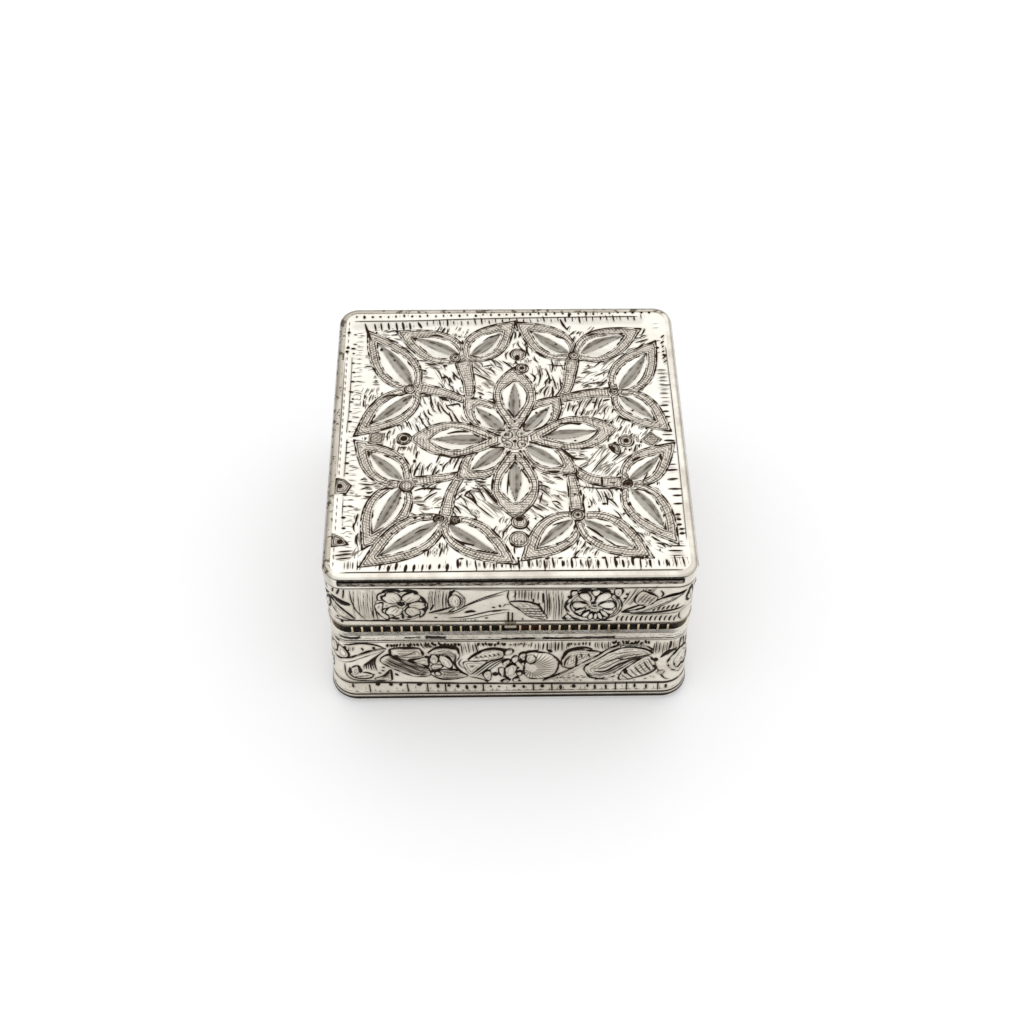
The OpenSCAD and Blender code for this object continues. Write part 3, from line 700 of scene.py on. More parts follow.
def wall_strip(name, low, high, half_low, half_high, rows, front_step, side_step, draw, seed):
    """A closed strip of engraved sheet round the box, drawn side by side, with its plain inner face."""
    levels = np.linspace(low, high, rows)
    radius = np.interp(levels, [low, high], [half_low, half_high]) - CORNER
    points, marks = [], {key: [] for key in MARKS}
    for side in range(4):
        step = front_step if side == 0 else side_step
        bend = np.radians(np.linspace(0, 45, 12))
        straight = np.linspace(-CORNER, CORNER, int(2 * CORNER / step) + 1)
        centre = np.concatenate([np.full(11, -CORNER), straight, np.full(10, CORNER)])
        turn = np.concatenate([-bend[:0:-1], np.zeros(len(straight)), bend[1:-1]])
        columns = centre + 2.8 * np.sin(turn)
        x = centre + radius[:, None] * np.sin(turn)
        y = np.repeat(levels[:, None], len(columns), 1)
        mirror = side % 2 == 1
        if mirror:
            face = Engraving(-columns[::-1], levels, -x[:, ::-1], y, seed + side)
        else:
            face = Engraving(columns, levels, x, y, seed + side)
        draw(face, side)
        out = {key: getattr(face, key) for key in MARKS}
        depth = face.rise - CUT_DEEP * np.clip(0.6 - face.cut / 0.16, 0, 1)
        if mirror:
            out = {key: value[:, ::-1] for key, value in out.items()}
            depth = depth[:, ::-1]
        edge = np.minimum(np.arange(rows), np.arange(rows)[::-1])[:, None]
        depth = depth * np.clip(edge / 2, 0, 1)
        for key, value in out.items():
            marks[key].append(value)
        away = CORNER + (radius[:, None] + depth) * np.cos(turn)
        beside = centre + (radius[:, None] + depth) * np.sin(turn)
        c, s = (1, 0, -1, 0)[side], (0, 1, 0, -1)[side]
        points.append(np.stack([beside * c + away * s, beside * s - away * c, y], 2))
    outer = np.concatenate(points, 1)
    marks = {key: np.concatenate(value, 1) for key, value in marks.items()}
    inner = []
    for level, r in ((high, radius[-1]), (low, radius[0])):
        flat = outer[0, :, :2]
        middle = np.clip(flat, -CORNER, CORNER)
        ways = flat - middle
        ways = ways / np.hypot(*ways.T)[:, None]
        inner.append(np.column_stack([middle + ways * (r - SHEET_T), np.full(len(flat), level)]))
    return engraved_mesh(name, np.concatenate([outer, np.array(inner)]), marks, True)


def engraved_mesh(name, points, marks, ring):
    """A mesh of a grid of points. A ring closes both ways; marks are kept for its finish."""
    rows, columns = points.shape[:2]
    grid = np.arange(rows * columns).reshape(rows, columns)
    if ring:
        grid = np.vstack([grid, grid[:1]])
        grid = np.hstack([grid, grid[:, :1]])
    quads = np.stack([grid[:-1, :-1], grid[:-1, 1:], grid[1:, 1:], grid[1:, :-1]], 2).reshape(-1, 4)
    mesh = bpy.data.meshes.new(name)
    mesh.from_pydata((points.reshape(-1, 3) * MM).tolist(), [], quads.tolist())
    for key, value in marks.items():
        plain = 0.0 if key in ("rake", "tone") else 1.0
        full = np.full(rows * columns, plain, np.float32)
        full[: value.size] = value.ravel()
        mesh.attributes.new(key, "FLOAT", "POINT").data.foreach_set("value", full)
    mesh.shade_smooth()
    mesh.set_sharp_from_angle(angle=radians(50))
    mesh.validate()
    piece = bpy.data.objects.new(name, mesh)
    bpy.context.scene.collection.objects.link(piece)
    return piece


def contoured(tree, where, mark, colour, pitted):
    """Fine cuts that follow the outline of a chased leaf or petal, with gaps."""
    deep = add(tree, "Math", {0: 0.0, 1: mark["grain"]}, operation="SUBTRACT")
    ways = add(tree, "Math", {0: deep, 1: 2 * pi / CONTOUR_GAP}, operation="MULTIPLY")
    lines = add(tree, "Math", {0: ways}, operation="COSINE")
    lines = add(tree, "MapRange", {"Value": lines, "From Min": 0.15, "From Max": 0.75})
    within = add(tree, "MapRange", {"Value": deep, "From Min": 0.24, "From Max": 0.3})
    patches = add(tree, "TexNoise", {"Vector": where, "Scale": 0.75, "Detail": 3.0, "Roughness": 0.7})
    kept = add(tree, "MapRange", {"Value": patches, "From Min": 0.4, "From Max": 0.5, "To Max": 0.7})
    lines = add(tree, "Math", {0: lines, 1: within}, operation="MULTIPLY")
    lines = add(tree, "Math", {0: lines, 1: kept}, operation="MULTIPLY")
    colour = add(tree, "MixRGB", {0: lines, 1: colour, 2: tint(pitted)})
    return colour, lines


def engraved_silver(name, fresh, dull, pitted, ink, smooth, rough, comb_share, halo, band):
    """Silver cut with a graver: bright between the cuts, grey where it is stippled or combed, black in the cuts."""
    made, tree, where, colour, dulling = silver(name, fresh, dull, smooth, rough)
    mark = {}
    for key in MARKS:
        source = tree.nodes.new("ShaderNodeAttribute")
        source.attribute_name = key
        mark[key] = source.outputs["Fac"]
    colour, grain = band(tree, where, mark, colour, pitted)
    # Combed leaves have parallel cuts. The tone mark greys the silver: painted shade on the lid's leaf blades, and a
    # grey on some figures and margins.
    combing = add(tree, "Math", {0: mark["rake"], 1: 2 * pi / COMB_PITCH}, operation="MULTIPLY")
    combing = add(tree, "Math", {0: combing}, operation="SINE")
    combed = add(tree, "MapRange", {"Value": combing, "From Min": -0.5, "From Max": 0.9}, interpolation_type="SMOOTHSTEP")
    in_comb = add(tree, "MapRange", {"Value": mark["comb"], "From Min": 0.04, "From Max": -0.04})
    comb = add(tree, "Math", {0: in_comb, 1: combed}, operation="MULTIPLY")
    comb_mix = add(tree, "Math", {0: comb, 1: comb_share}, operation="MULTIPLY")
    # The tone colour: painted shade on the lid's leaf blades, an even grey elsewhere.
    colour = add(tree, "MixRGB", {0: mark["tone"], 1: colour, 2: tint("50473b")})
    colour = add(tree, "MixRGB", {0: comb_mix, 1: colour, 2: tint(pitted)})
    in_scratch = add(tree, "MapRange", {"Value": mark["faint"], "From Min": 0.04, "From Max": -0.03, "To Max": 0.85})
    colour = add(tree, "MixRGB", {0: in_scratch, 1: colour, 2: tint("584d3f")})
    beside = add(tree, "MapRange", {"Value": mark["cut"], "From Min": 0.3, "From Max": 0.0, "To Max": halo})
    colour = add(tree, "MixRGB", {0: beside, 1: colour, 2: tint("6e6354")})
    in_cut = add(tree, "MapRange", {"Value": mark["cut"], "From Min": 0.03, "From Max": -0.03}, interpolation_type="SMOOTHSTEP")
    colour = add(tree, "MixRGB", {0: in_cut, 1: colour, 2: tint(ink)})
    marked = add(tree, "Math", {0: grain, 1: comb_mix}, operation="MAXIMUM")
    marked = add(tree, "Math", {0: marked, 1: in_cut}, operation="MAXIMUM")
    dulling = add(tree, "MixRGB", {0: marked, 1: dulling, 2: (0.5, 0.5, 0.5, 1)})
    height = add(tree, "Math", {0: 1.0, 1: marked}, operation="SUBTRACT")
    return dress(made, tree, colour, dulling, height, 0.00003)


def hold(piece, body, node, made):
    """Puts an engraved piece in its CAD piece's place."""
    piece.data.materials.append(made)
    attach(piece, body)
    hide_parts(node)


base_silver = engraved_silver("sterling silver, chased, engraved and tarnished", "f0eade", "d2cabb", "7d7263", "261b11", 0.2, 0.38, 0.9, 0.4, contoured)
base_walls = wall_strip("base_walls_engraved", BASE_LOW, BASE_HIGH, BASE_HALF_LOW, BASE_HALF_HIGH, 88, 0.13, 0.2, draw_base_band, 40)
hold(base_walls, "base", "base_walls", base_silver)

# Mouth moulding.
# A plain, slightly convex silver strip closes the base's mouth. Fingers keep it bright, and what was black in its
# lower groove is worn away in places.


def worn_mouth(name):
    """Polished silver with thin tarnish lines along the strip, and long black dashes left in the front's groove."""
    made, tree, where, colour, dulling = silver(name, "e0dace", "bdb5a7", 0.12, 0.3)
    split = tree.nodes.new("ShaderNodeSeparateXYZ")
    tree.links.new(where, split.inputs[0])
    along, deep, level = split.outputs
    ripple = add(tree, "TexNoise", {"Vector": where, "Scale": 0.5, "Detail": 4.0, "Roughness": 0.7})
    waver = add(tree, "MapRange", {"Value": ripple, "From Min": 0.3, "From Max": 0.7, "To Min": -0.22, "To Max": 0.22})
    level = add(tree, "Math", {0: level, 1: waver}, operation="ADD")
    front = add(tree, "Math", {0: deep, 1: -24.0}, operation="LESS_THAN")
    fine = add(tree, "TexNoise", {"Vector": where, "Scale": 1.3, "Detail": 4.0, "Roughness": 0.7})
    for middle, reach, worn, hue in ((14.98, 0.09, 0.3, "2a211a"), (16.72, 0.04, 0.56, "6a5e4e"), (15.72, 0.05, 0.46, "554a3d"), (16.2, 0.045, 0.52, "6a5e4e")):
        off = add(tree, "Math", {0: level, 1: middle}, operation="SUBTRACT")
        off = add(tree, "Math", {0: off}, operation="ABSOLUTE")
        mask = add(tree, "MapRange", {"Value": off, "From Min": reach + 0.05, "From Max": reach - 0.03})
        kept = add(tree, "MapRange", {"Value": fine, "From Min": worn, "From Max": worn + 0.04})
        mask = add(tree, "Math", {0: mask, 1: kept}, operation="MULTIPLY")
        colour = add(tree, "MixRGB", {0: mask, 1: colour, 2: tint(hue)})
    for start, stop, middle, reach in ((-23.9, -20.7, 16.1, 0.3), (-14.9, -12.4, 15.9, 0.16), (-12.0, -8.8, 15.9, 0.42), (-1.4, 3.6, 15.35, 0.34), (4.4, 14.8, 15.45, 0.36)):
        off = add(tree, "Math", {0: level, 1: middle}, operation="SUBTRACT")
        off = add(tree, "Math", {0: off}, operation="ABSOLUTE")
        high = add(tree, "MapRange", {"Value": off, "From Min": reach + 0.06, "From Max": reach - 0.05})
        beside = add(tree, "Math", {0: along, 1: (start + stop) / 2}, operation="SUBTRACT")
        beside = add(tree, "Math", {0: beside}, operation="ABSOLUTE")
        wide = add(tree, "MapRange", {"Value": beside, "From Min": (stop - start) / 2, "From Max": (stop - start) / 2 - 0.25})
        kept = add(tree, "MapRange", {"Value": fine, "From Min": 0.28, "From Max": 0.33})
        mask = add(tree, "Math", {0: high, 1: wide}, operation="MULTIPLY")
        mask = add(tree, "Math", {0: mask, 1: kept}, operation="MULTIPLY")
        mask = add(tree, "Math", {0: mask, 1: front}, operation="MULTIPLY")
        colour = add(tree, "MixRGB", {0: mask, 1: colour, 2: tint("1c130c")})
    return dress(made, tree, colour, dulling, fine, 0.000012)


clothe("mouth_moulding", worn_mouth("sterling silver, polished, worn at the mouth"))

# Lining, partition and ramps.
# A thin inner strip carries the lid, a sheet with a finger dip parts the two stamp wells, and a curved false floor
# in each lets a stamp slide up. All are silver, fire-gilt against tarnish and rubbed pale by the stamps.


def gilt_silver(name):
    """Fire-gilding over silver: warm, softly brushed, with paler rubs."""
    made, tree, where, colour, dulling = silver(name, "e2bd6c", "c99a45", 0.2, 0.36)
    stretched = add(tree, "VectorMath", {0: where, 1: (0.7, 0.7, 9.0)}, operation="MULTIPLY")
    brushing = add(tree, "TexNoise", {"Vector": stretched, "Scale": 1.5, "Detail": 4.0})
    rubs = add(tree, "TexNoise", {"Vector": where, "Scale": 0.45, "Detail": 6.0, "Roughness": 0.62})
    rubbed = add(tree, "MapRange", {"Value": rubs, "From Min": 0.56, "From Max": 0.74, "To Max": 0.7})
    colour = add(tree, "MixRGB", {0: rubbed, 1: colour, 2: tint("dccfae")})
    return dress(made, tree, colour, dulling, brushing, 0.00001)


gilt = gilt_silver("silver, fire-gilt and brushed")
for node in ("lining", "partition", "left_ramp", "right_ramp"):
    clothe(node, gilt)

# Reeded collar.
# A recessed strip behind the seam, with thin upright reeds. No cloth reaches it, so it tarnishes; it is painted black
# as tarnish and as the shade in the seam, reddish brown near the middle; only the crests of the reeds are rubbed bright
# by the lid's edge.
REED_CREST, COLLAR_FACE = 24.7, 24.35


def tarnished_collar_with_painted_shade(name):
    """Silver sulphide and painted seam shade: a dull black-brown film, broken where the reeds stand out."""
    made, tree, where, colour, dulling = silver(name, "e2d2b4", "b9a588", 0.2, 0.4)
    split = tree.nodes.new("ShaderNodeSeparateXYZ")
    tree.links.new(where, split.inputs[0])
    wide = add(tree, "Math", {0: split.outputs["X"]}, operation="ABSOLUTE")
    deep = add(tree, "Math", {0: split.outputs["Y"]}, operation="ABSOLUTE")
    out = add(tree, "Math", {0: wide, 1: deep}, operation="MAXIMUM")
    # The face set back from the reed crests is painted near black: tarnish, and the shade of the seam gap.
    set_back_tarnish_and_shade = add(tree, "MapRange", {"Value": out, "From Min": REED_CREST - 0.04, "From Max": REED_CREST - 0.12})
    off = add(tree, "Math", {0: split.outputs["X"], 1: 2.6}, operation="SUBTRACT")
    gap = add(tree, "Math", {0: off}, operation="ABSOLUTE")
    near = add(tree, "MapRange", {"Value": gap, "From Min": 4.2, "From Max": 1.2})
    patches = add(tree, "TexNoise", {"Vector": where, "Scale": 1.4, "Detail": 3.0})
    spots = add(tree, "MapRange", {"Value": patches, "From Min": 0.4, "From Max": 0.62})
    red = add(tree, "Math", {0: near, 1: spots}, operation="MULTIPLY")
    film = add(tree, "MixRGB", {0: red, 1: tint("0d0704"), 2: tint("451a0a")})
    colour = add(tree, "MixRGB", {0: set_back_tarnish_and_shade, 1: colour, 2: film})
    return dress(made, tree, colour, dulling, patches, 0.00003)


clothe("reeded_collar", tarnished_collar_with_painted_shade("silver, black with sulphide tarnish and painted seam shade"))

# Hinge.
# Five knuckles of drawn silver tube on small feet, three soldered to the base and two to the lid, turn on a pin
# of hard-drawn silver wire. They rub bright where they turn and darken at their feet.
hinge_silver = polished_silver("sterling silver, drawn and turned", "cfc8ba", "a09684", 0.18, 0.4, [(17.05, 17.25, 0.3), (18.4, 18.65, 0.3)])
for node in ("base_knuckles", "hinge_pin", "lid_knuckles"):
    clothe(node, hinge_silver)

# Lid edge wire and thumb point.
# A half-round wire stiffens the lid's lower edge, and a small point is filed up on it to lift the lid by.
# The black band along the wire's lower side, over the seam, is painted shade.
wire_silver = polished_silver("sterling silver, drawn half-round wire", "c9c2b4", "9d9484", 0.14, 0.32, [(18.74, 19.04, 0.34)])
clothe("lid_edge_wire", wire_silver)
clothe("thumb_point", polished_silver("sterling silver, filed to a point", "b3aa9a", "8d8373", 0.2, 0.36, [(18.0, 18.7, 0.3)]))

# Lid walls.
# A strip of sheet like the base's, upright and lower. Two flowers in leafy rings, long leaves and upright hatching
# are cut with a graver, and the ground is left bright.

def draw_lid_band(wall, side):
    """The lid's band, with x along the side and y the height on the box."""
    # Upright cuts of the ground come first: the figures cover them.
    wall.hatch((-21.0, 24.0), (0.62, 0.0), 5, (0.02, 1), 6.6, 0.14, bow=0.12, ragged=0.1)
    wall.hatch((-18.9, 21.8), (0.55, 0.0), 2, (-0.1, 1), 3.0, 0.14, ragged=0.1)
    wall.hatch((-10.9, 25.0), (0.44, 0.0), 7, (0.05, 1), 4.6, 0.14, bow=0.1, ragged=0.15)
    wall.hatch((0.7, 26.2), (0.43, -0.06), 8, (0.0, 1), 2.2, 0.17, ragged=0.12)
    wall.hatch((4.4, 23.6), (0.42, 0.0), 7, (-0.03, 1), 7.0, 0.16, bow=-0.12, ragged=0.12)
    wall.hatch((15.6, 25.2), (0.5, 0.12), 7, (0.3, 1), 3.4, 0.14, bow=-0.1, turn=-12)
    for points, wide in (((-23.7, 27.7), (-23.9, 26.6)), 0.24), (((-22.9, 27.7), (-23.3, 26.4)), 0.3), (((-22.25, 27.7), (-22.5, 25.6)), 0.24), \
            (((-21.5, 27.5), (-21.4, 24.9), (-20.9, 22.5), (-19.8, 20.3)), 0.18), (((-10.4, 23.9), (-10.9, 22.5)), 0.3):
        wall.stroke(points, wide, 0.2)
    wedge = wall.figure([(-24.1, 25.9), (-22.9, 25.3), (-21.8, 24.4), (-21.8, 23.9), (-22.8, 24.2), (-23.6, 25.0)], 0.1)
    wall.cut[wedge < 0] = -0.2
    fold = wall.figure([(-24.3, 25.3), (-23.7, 24.4), (-22.9, 23.3), (-21.9, 21.8), (-21.3, 20.6), (-22.2, 20.6), (-23.3, 21.4), (-24.1, 22.9)], 0.22, high=0.1)
    wall.stroke([(-23.7, 24.2), (-22.2, 22.1), (-21.4, 20.6)], 0.22, inside=fold)
    wall.dots((-23.6, 20.9), (-23.1, 20.1), (-23.1, 19.8), r=0.2)
    # Five-petalled flower. Its ring of curled leaves shows at the sides.
    ring = wall.figure([(-14.75 + 3.5 * np.cos(a), 23.7 + 3.5 * np.sin(a)) for a in np.arange(0, 6.2, 0.45)], 0.15, high=0.02)
    for r in (3.1, 2.75):
        wall.stroke([(-14.75 + r * np.cos(a), 23.7 + r * np.sin(a)) for a in np.arange(-1.5, 1.0, 0.35)], 0.14, 0.1)
    wall.stroke([(-12.3, 26.2), (-11.8, 25.4), (-11.5, 24.0)], 0.42, 0.4)
    for points in ([(-17.3, 24.6), (-18.3, 24.0), (-18.3, 22.6), (-17.5, 21.0), (-16.7, 20.3), (-16.6, 21.2), (-17.4, 22.4), (-17.3, 23.6)],
                   [(-17.8, 26.4), (-16.9, 27.0), (-16.7, 26.2), (-17.3, 25.2), (-17.9, 25.2)],
                   [(-12.0, 22.9), (-11.6, 22.2), (-12.1, 21.0), (-12.5, 21.6), (-12.5, 22.6)]):
        curl = wall.figure(points, 0.2, high=0.12)
    for points, wide in (((-17.1, 27.2), (-16.4, 27.4), (-15.2, 27.35), (-14.9, 26.9)), 0.62), (((-14.5, 27.1), (-13.8, 27.4), (-12.9, 27.1), (-12.4, 26.6)), 0.56), \
            (((-16.7, 23.3), (-16.6, 22.6)), 0.5), (((-16.3, 20.9), (-15.2, 20.5)), 0.5), (((-14.7, 21.9), (-14.7, 20.5)), 0.36), \
            (((-14.0, 21.0), (-13.5, 21.0)), 0.66), (((-12.4, 22.0), (-12.35, 20.5)), 0.2), (((-17.5, 22.6), (-17.0, 23.2)), 0.3):
        wall.stroke(points, wide, 0.2)
    petals = [(-15.9, 25.5, 128, 1.5, 1.25), (-13.5, 25.5, 48, 1.4, 1.15), (-12.7, 23.8, -2, 1.25, 0.95), (-13.4, 22.4, -62, 1.15, 1.0), (-15.7, 22.6, -122, 1.35, 1.1)]
    for x, y, turn, long, wide in petals:
        a = np.radians(turn)
        tx, ty = np.cos(a) * long, np.sin(a) * long
        vx, vy = -np.sin(a) * wide, np.cos(a) * wide
        shape = [(-0.95, 0), (-0.5, -0.75), (0.2, -1.0), (0.85, -0.7), (0.98, -0.15), (0.85, 0.2), (0.95, 0.6), (0.3, 1.0), (-0.5, 0.8)]
        petal = wall.figure([(x + u * tx + v * vx, y + u * ty + v * vy) for u, v in shape], 0.2, high=0.17, soft=0.6, lined=False)
        for v in (-0.3, 0.25):
            wall.scratch([(x - 0.7 * tx + v * 0.5 * vx, y - 0.7 * ty + v * 0.5 * vy), (x + 0.3 * tx + v * vx, y + 0.3 * ty + v * vy)], 0.14, True, petal)
    eye = wall.figure([(-14.75 + 0.72 * np.cos(a), 24.15 + 0.95 * np.sin(a)) for a in np.arange(0, 6.2, 0.7)], 0.14)
    wall.stroke([(-14.85, 24.75), (-14.72, 23.8)], 1.05, 0.2)
    # Scroll bud and long lance leaves.
    bud = wall.figure([(-8.4, 25.2), (-8.0, 26.6), (-7.5, 27.2), (-6.7, 26.3), (-6.2, 25.2), (-6.3, 23.8), (-7.0, 22.8), (-8.3, 22.2), (-7.6, 23.2), (-8.3, 23.7)], 0.2, high=0.14)
    wall.stroke([(-7.7, 26.6), (-6.9, 25.7), (-6.8, 24.3), (-7.3, 23.3)], 0.2, inside=bud)
    wall.stroke([(-7.3, 26.5), (-6.5, 25.4), (-6.55, 24.0), (-7.2, 22.9)], 0.13, inside=bud)
    wall.stroke([(-7.55, 27.3), (-8.1, 26.6), (-7.8, 26.2)], 0.42, 0.3)
    wall.stroke([(-11.1, 21.9), (-9.6, 22.5), (-8.3, 23.1), (-7.9, 23.2)], 0.56, 0.6)
    wall.stroke([(-8.2, 24.1), (-8.4, 23.7)], 0.36)
    for points, wide in (((-10.9, 21.8), (-8.6, 21.9), (-7.0, 22.7), (-5.4, 24.2), (-3.2, 25.7), (-0.5, 27.1)), 0.2), (((-8.5, 21.4), (-6.2, 23.4), (-3.4, 25.2), (-1.0, 26.2)), 0.18), \
            (((-6.2, 23.6), (-4.0, 25.2), (-1.6, 26.3)), 0.14), (((-9.8, 21.5), (-7.6, 21.8), (-5.9, 23.2)), 0.13), (((-8.4, 20.6), (-6.3, 20.8), (-4.2, 21.6), (-2.2, 22.3), (-0.2, 22.5)), 0.26), \
            (((-8.2, 20.2), (-5.4, 20.4), (-3.0, 21.2), (-0.5, 21.9)), 0.14), (((-1.0, 23.2), (-0.7, 23.8), (-0.2, 23.7)), 0.14), (((-2.6, 22.1), (-1.2, 22.4)), 0.4):
        wall.stroke(points, wide, 0.25)
    wall.stroke([(-6.2, 21.9), (-5.4, 22.2), (-4.8, 22.1)], 0.6, 0.3)
    wall.stroke([(-1.5, 23.7), (-1.4, 23.1)], 0.28, 0.2)
    wall.dots((-3.3, 20.5), (-10.2, 20.7), (-2.3, 23.1), r=0.19)
    wall.hatch((-6.8, 20.1), (0.7, 0.0), 4, (0, 1), 0.5, 0.12)
    # Middle: the front has two upright lines for the thumb point.
    if side == 0:
        wall.stroke([(-0.3, 27.2), (-0.42, 25.6), (-0.2, 24.5)], 0.22)
        wall.stroke([(-0.3, 22.0), (-0.3, 19.4)], 0.24, 0.05)
        wall.stroke([(0.25, 21.8), (0.25, 19.4)], 0.2, 0.05)
    wall.stroke([(0.3, 26.9), (0.7, 26.3), (0.3, 25.5)], 0.14)
    # Striped leaf.
    stripe = wall.figure([(-0.1, 24.4), (1.6, 24.5), (2.9, 24.1), (3.8, 23.4), (4.4, 22.0), (5.0, 20.2), (3.5, 20.3), (2.3, 21.0), (1.3, 22.4), (0.4, 23.4)], 0.24, high=0.1, tone=0.04)
    for y in (20.9, 21.5, 22.1, 22.7):
        wall.stroke([(1.3 + 0.3 * (22.7 - y), y + 0.1), (2.8, y + 0.1), (4.9, y - 0.1)], 0.19, 0.3, inside=stripe)
    for x in (0.5, 1.2, 1.9, 2.6):
        wall.scratch([(x, 24.3), (x + 1.3, 22.9)], 0.14, True, stripe)
    wall.stroke([(0.0, 24.6), (1.6, 24.6), (2.9, 24.2), (3.8, 23.5), (4.4, 22.2)], 0.3, 0.3)
    for points, wide in (((3.8, 24.1), (3.9, 23.2)), 0.28), (((3.0, 25.1), (3.1, 24.3)), 0.24), (((4.3, 26.5), (4.4, 23.9)), 0.26), (((1.65, 20.4), (1.7, 19.8)), 0.16):
        wall.stroke(points, wide, 0.25)
    # Daisy in a turned ring.
    for points in ([(8.1, 26.9), (8.9, 26.9), (8.9, 25.8), (8.2, 25.6)], [(13.9, 27.1), (14.9, 27.2), (14.9, 26.0), (14.2, 25.2)], [(7.2, 20.2), (8.0, 21.6), (8.6, 21.2), (8.0, 19.9)]):
        curl = wall.figure(points, 0.2, high=0.12)
    outer = wall.figure([(11.25 + 3.85 * np.cos(a), 23.2 + 3.75 * np.sin(a)) for a in np.arange(0, 6.2, 0.45)], 0.22, high=0.06)
    for r, first, last in ((3.5, -2.0, 1.0), (3.15, -1.0, 0.9)):
        wall.stroke([(11.25 + r * np.cos(a), 23.2 + r * np.sin(a)) for a in np.arange(first, last, 0.35)], 0.14, 0.1)
    bowl = wall.figure([(11.05 + 2.95 * np.cos(a), 23.5 + 3.1 * np.sin(a)) for a in np.arange(0, 6.2, 0.45)], 0.2, high=-0.04, tone=0.2)
    for points, wide in (((9.1, 26.8), (9.9, 27.2), (10.8, 27.1)), 0.62), (((11.4, 27.2), (12.4, 27.2), (13.4, 26.6)), 0.56), (((7.8, 25.7), (8.1, 25.1)), 0.6), (((7.9, 24.2), (7.4, 23.1), (8.0, 21.9)), 0.34), \
            (((14.1, 25.9), (14.7, 24.8)), 0.36), (((7.5, 20.6), (7.5, 19.9)), 0.42), (((8.4, 20.4), (9.2, 19.9)), 0.5), (((11.4, 25.9), (11.5, 25.0)), 0.4), (((8.6, 23.0), (8.8, 22.4)), 0.36):
        wall.stroke(points, wide, 0.25)
    for x, y, turn, long, wide in ((10.1, 25.4, 118, 1.15, 0.72), (11.4, 26.4, 90, 0.7, 0.6), (12.4, 25.3, 52, 1.35, 0.85), (13.1, 23.5, 4, 1.1, 0.9), (13.3, 22.0, -35, 0.8, 0.5), (12.8, 21.4, -55, 0.95, 0.42),
                                   (12.2, 20.9, -75, 0.85, 0.36), (11.6, 20.8, -88, 0.8, 0.3), (11.0, 20.9, -100, 0.85, 0.36), (10.3, 21.4, -118, 0.85, 0.42), (9.5, 22.2, -145, 0.8, 0.45), (9.4, 23.6, 178, 1.0, 0.75)):
        a = np.radians(turn)
        tx, ty = np.cos(a), np.sin(a)
        petal = wall.figure([(x + u * long * tx - v * wide * ty, y + u * long * ty + v * wide * tx)
                             for u, v in ((-1, -0.25), (-0.2, -0.9), (0.75, -0.85), (1.05, 0), (0.75, 0.85), (-0.2, 0.9), (-1, 0.25))], 0.2, high=0.16, soft=0.3, lined=False)
    wall.stroke([(10.9, 24.0), (11.5, 23.8)], 0.72, 0.2)
    wall.stroke([(11.1, 23.2), (11.7, 23.05)], 0.34, 0.2)
    wall.stroke([(10.4, 23.6), (11.0, 22.6), (11.9, 22.6)], 0.14)
    # Fan, lance leaf and heavy line at the right.
    leaf = wall.figure([(17.6, 26.7), (18.8, 26.1), (19.8, 25.3), (19.5, 24.1), (18.7, 23.1), (17.2, 23.6), (16.7, 24.8)], 0.2, high=0.1)
    for k in range(4):
        wall.stroke([(17.1 + 0.5 * k, 24.0 - 0.15 * k), (17.6 + 0.5 * k, 25.2 - 0.1 * k), (18.1 + 0.45 * k, 26.1 - 0.25 * k)], 0.14, inside=leaf)
    wall.stroke([(17.7, 26.8), (18.9, 26.2), (19.8, 25.3)], 0.3, 0.3)
    wall.stroke([(20.1, 26.8), (20.5, 26.0), (20.3, 25.2)], 0.28, 0.3)
    wall.dots((18.6, 26.9), (15.4, 25.0), (15.6, 26.0), r=0.22)
    lance = wall.figure([(15.2, 21.7), (17.4, 22.4), (19.0, 23.6), (20.4, 25.0), (23.6, 26.6), (22.4, 25.0), (20.6, 23.2), (18.6, 21.9), (16.6, 21.5)], 0.2, high=0.12, tone=0.05)
    wall.stroke([(15.8, 21.7), (18.2, 22.1), (20.4, 23.6), (23.2, 26.0)], 0.15, inside=lance)
    wall.stroke([(20.4, 25.0), (21.8, 25.8), (23.5, 26.4)], 0.52, 0.5)
    wall.stroke([(15.3, 21.9), (16.6, 22.8), (18.0, 23.6)], 0.46, 0.5)
    for k in range(6):
        wall.stroke([(19.4 + 0.62 * k, 21.8 + 0.15 * k), (19.7 + 0.62 * k, 22.6 + 0.2 * k)], 0.34, 0.8)
    wall.stroke([(16.4, 21.3), (18.8, 21.4), (21.1, 21.8), (23.6, 22.7)], 0.5, 0.35)
    wall.stroke([(15.4, 21.0), (19.0, 21.0), (22.4, 21.4), (24.2, 22.4)], 0.13)
    for k in range(13):
        x = 14.6 + 0.66 * k
        wall.stroke([(x + 0.2, 20.7), (x, 20.0), (x, 19.4)], 0.26 if k % 2 else 0.2, 0.2)
    wall.stroke([(23.2, 21.6), (23.1, 20.4), (23.5, 19.4)], 0.24)
    drop = wall.figure([(24.2, 23.6), (23.8, 24.6), (24.2, 26.8), (24.7, 27.0), (24.9, 25.0), (24.8, 23.8)], 0.3)
    # Lines under the rim and over the edge wire run a little out of true.
    wall.stroke([(-24.6, 27.9), (-8, 27.8), (4, 27.6), (15, 27.5), (24.6, 27.6)], 0.2, 0.01)
    wall.stroke([(-16, 27.95), (-4, 27.35), (4, 27.2), (15.0, 27.2)], 0.14, 0.01, over=False)
    wall.stroke([(-24.0, 20.3), (-18.4, 20.05), (-11, 19.8), (0, 19.65), (14, 19.55)], 0.26, 0.02, over=False)
    wall.stroke([(-19.2, 20.1), (-17.0, 20.15)], 0.42, 0.3)

LID_LOW, LID_HIGH, LID_HALF = 19.25, 28.1, 25.1
lid_silver = engraved_silver("sterling silver, engraved and tarnished", "ebe5d9", "c7bfb0", "7d7263", "1a110a", 0.2, 0.36, 0.9, 0.4, contoured)
lid_walls = wall_strip("lid_walls_engraved", LID_LOW, LID_HIGH, LID_HALF, LID_HALF, 68, 0.13, 0.18, draw_lid_band, 60)
hold(lid_walls, "lid", "lid_walls", lid_silver)
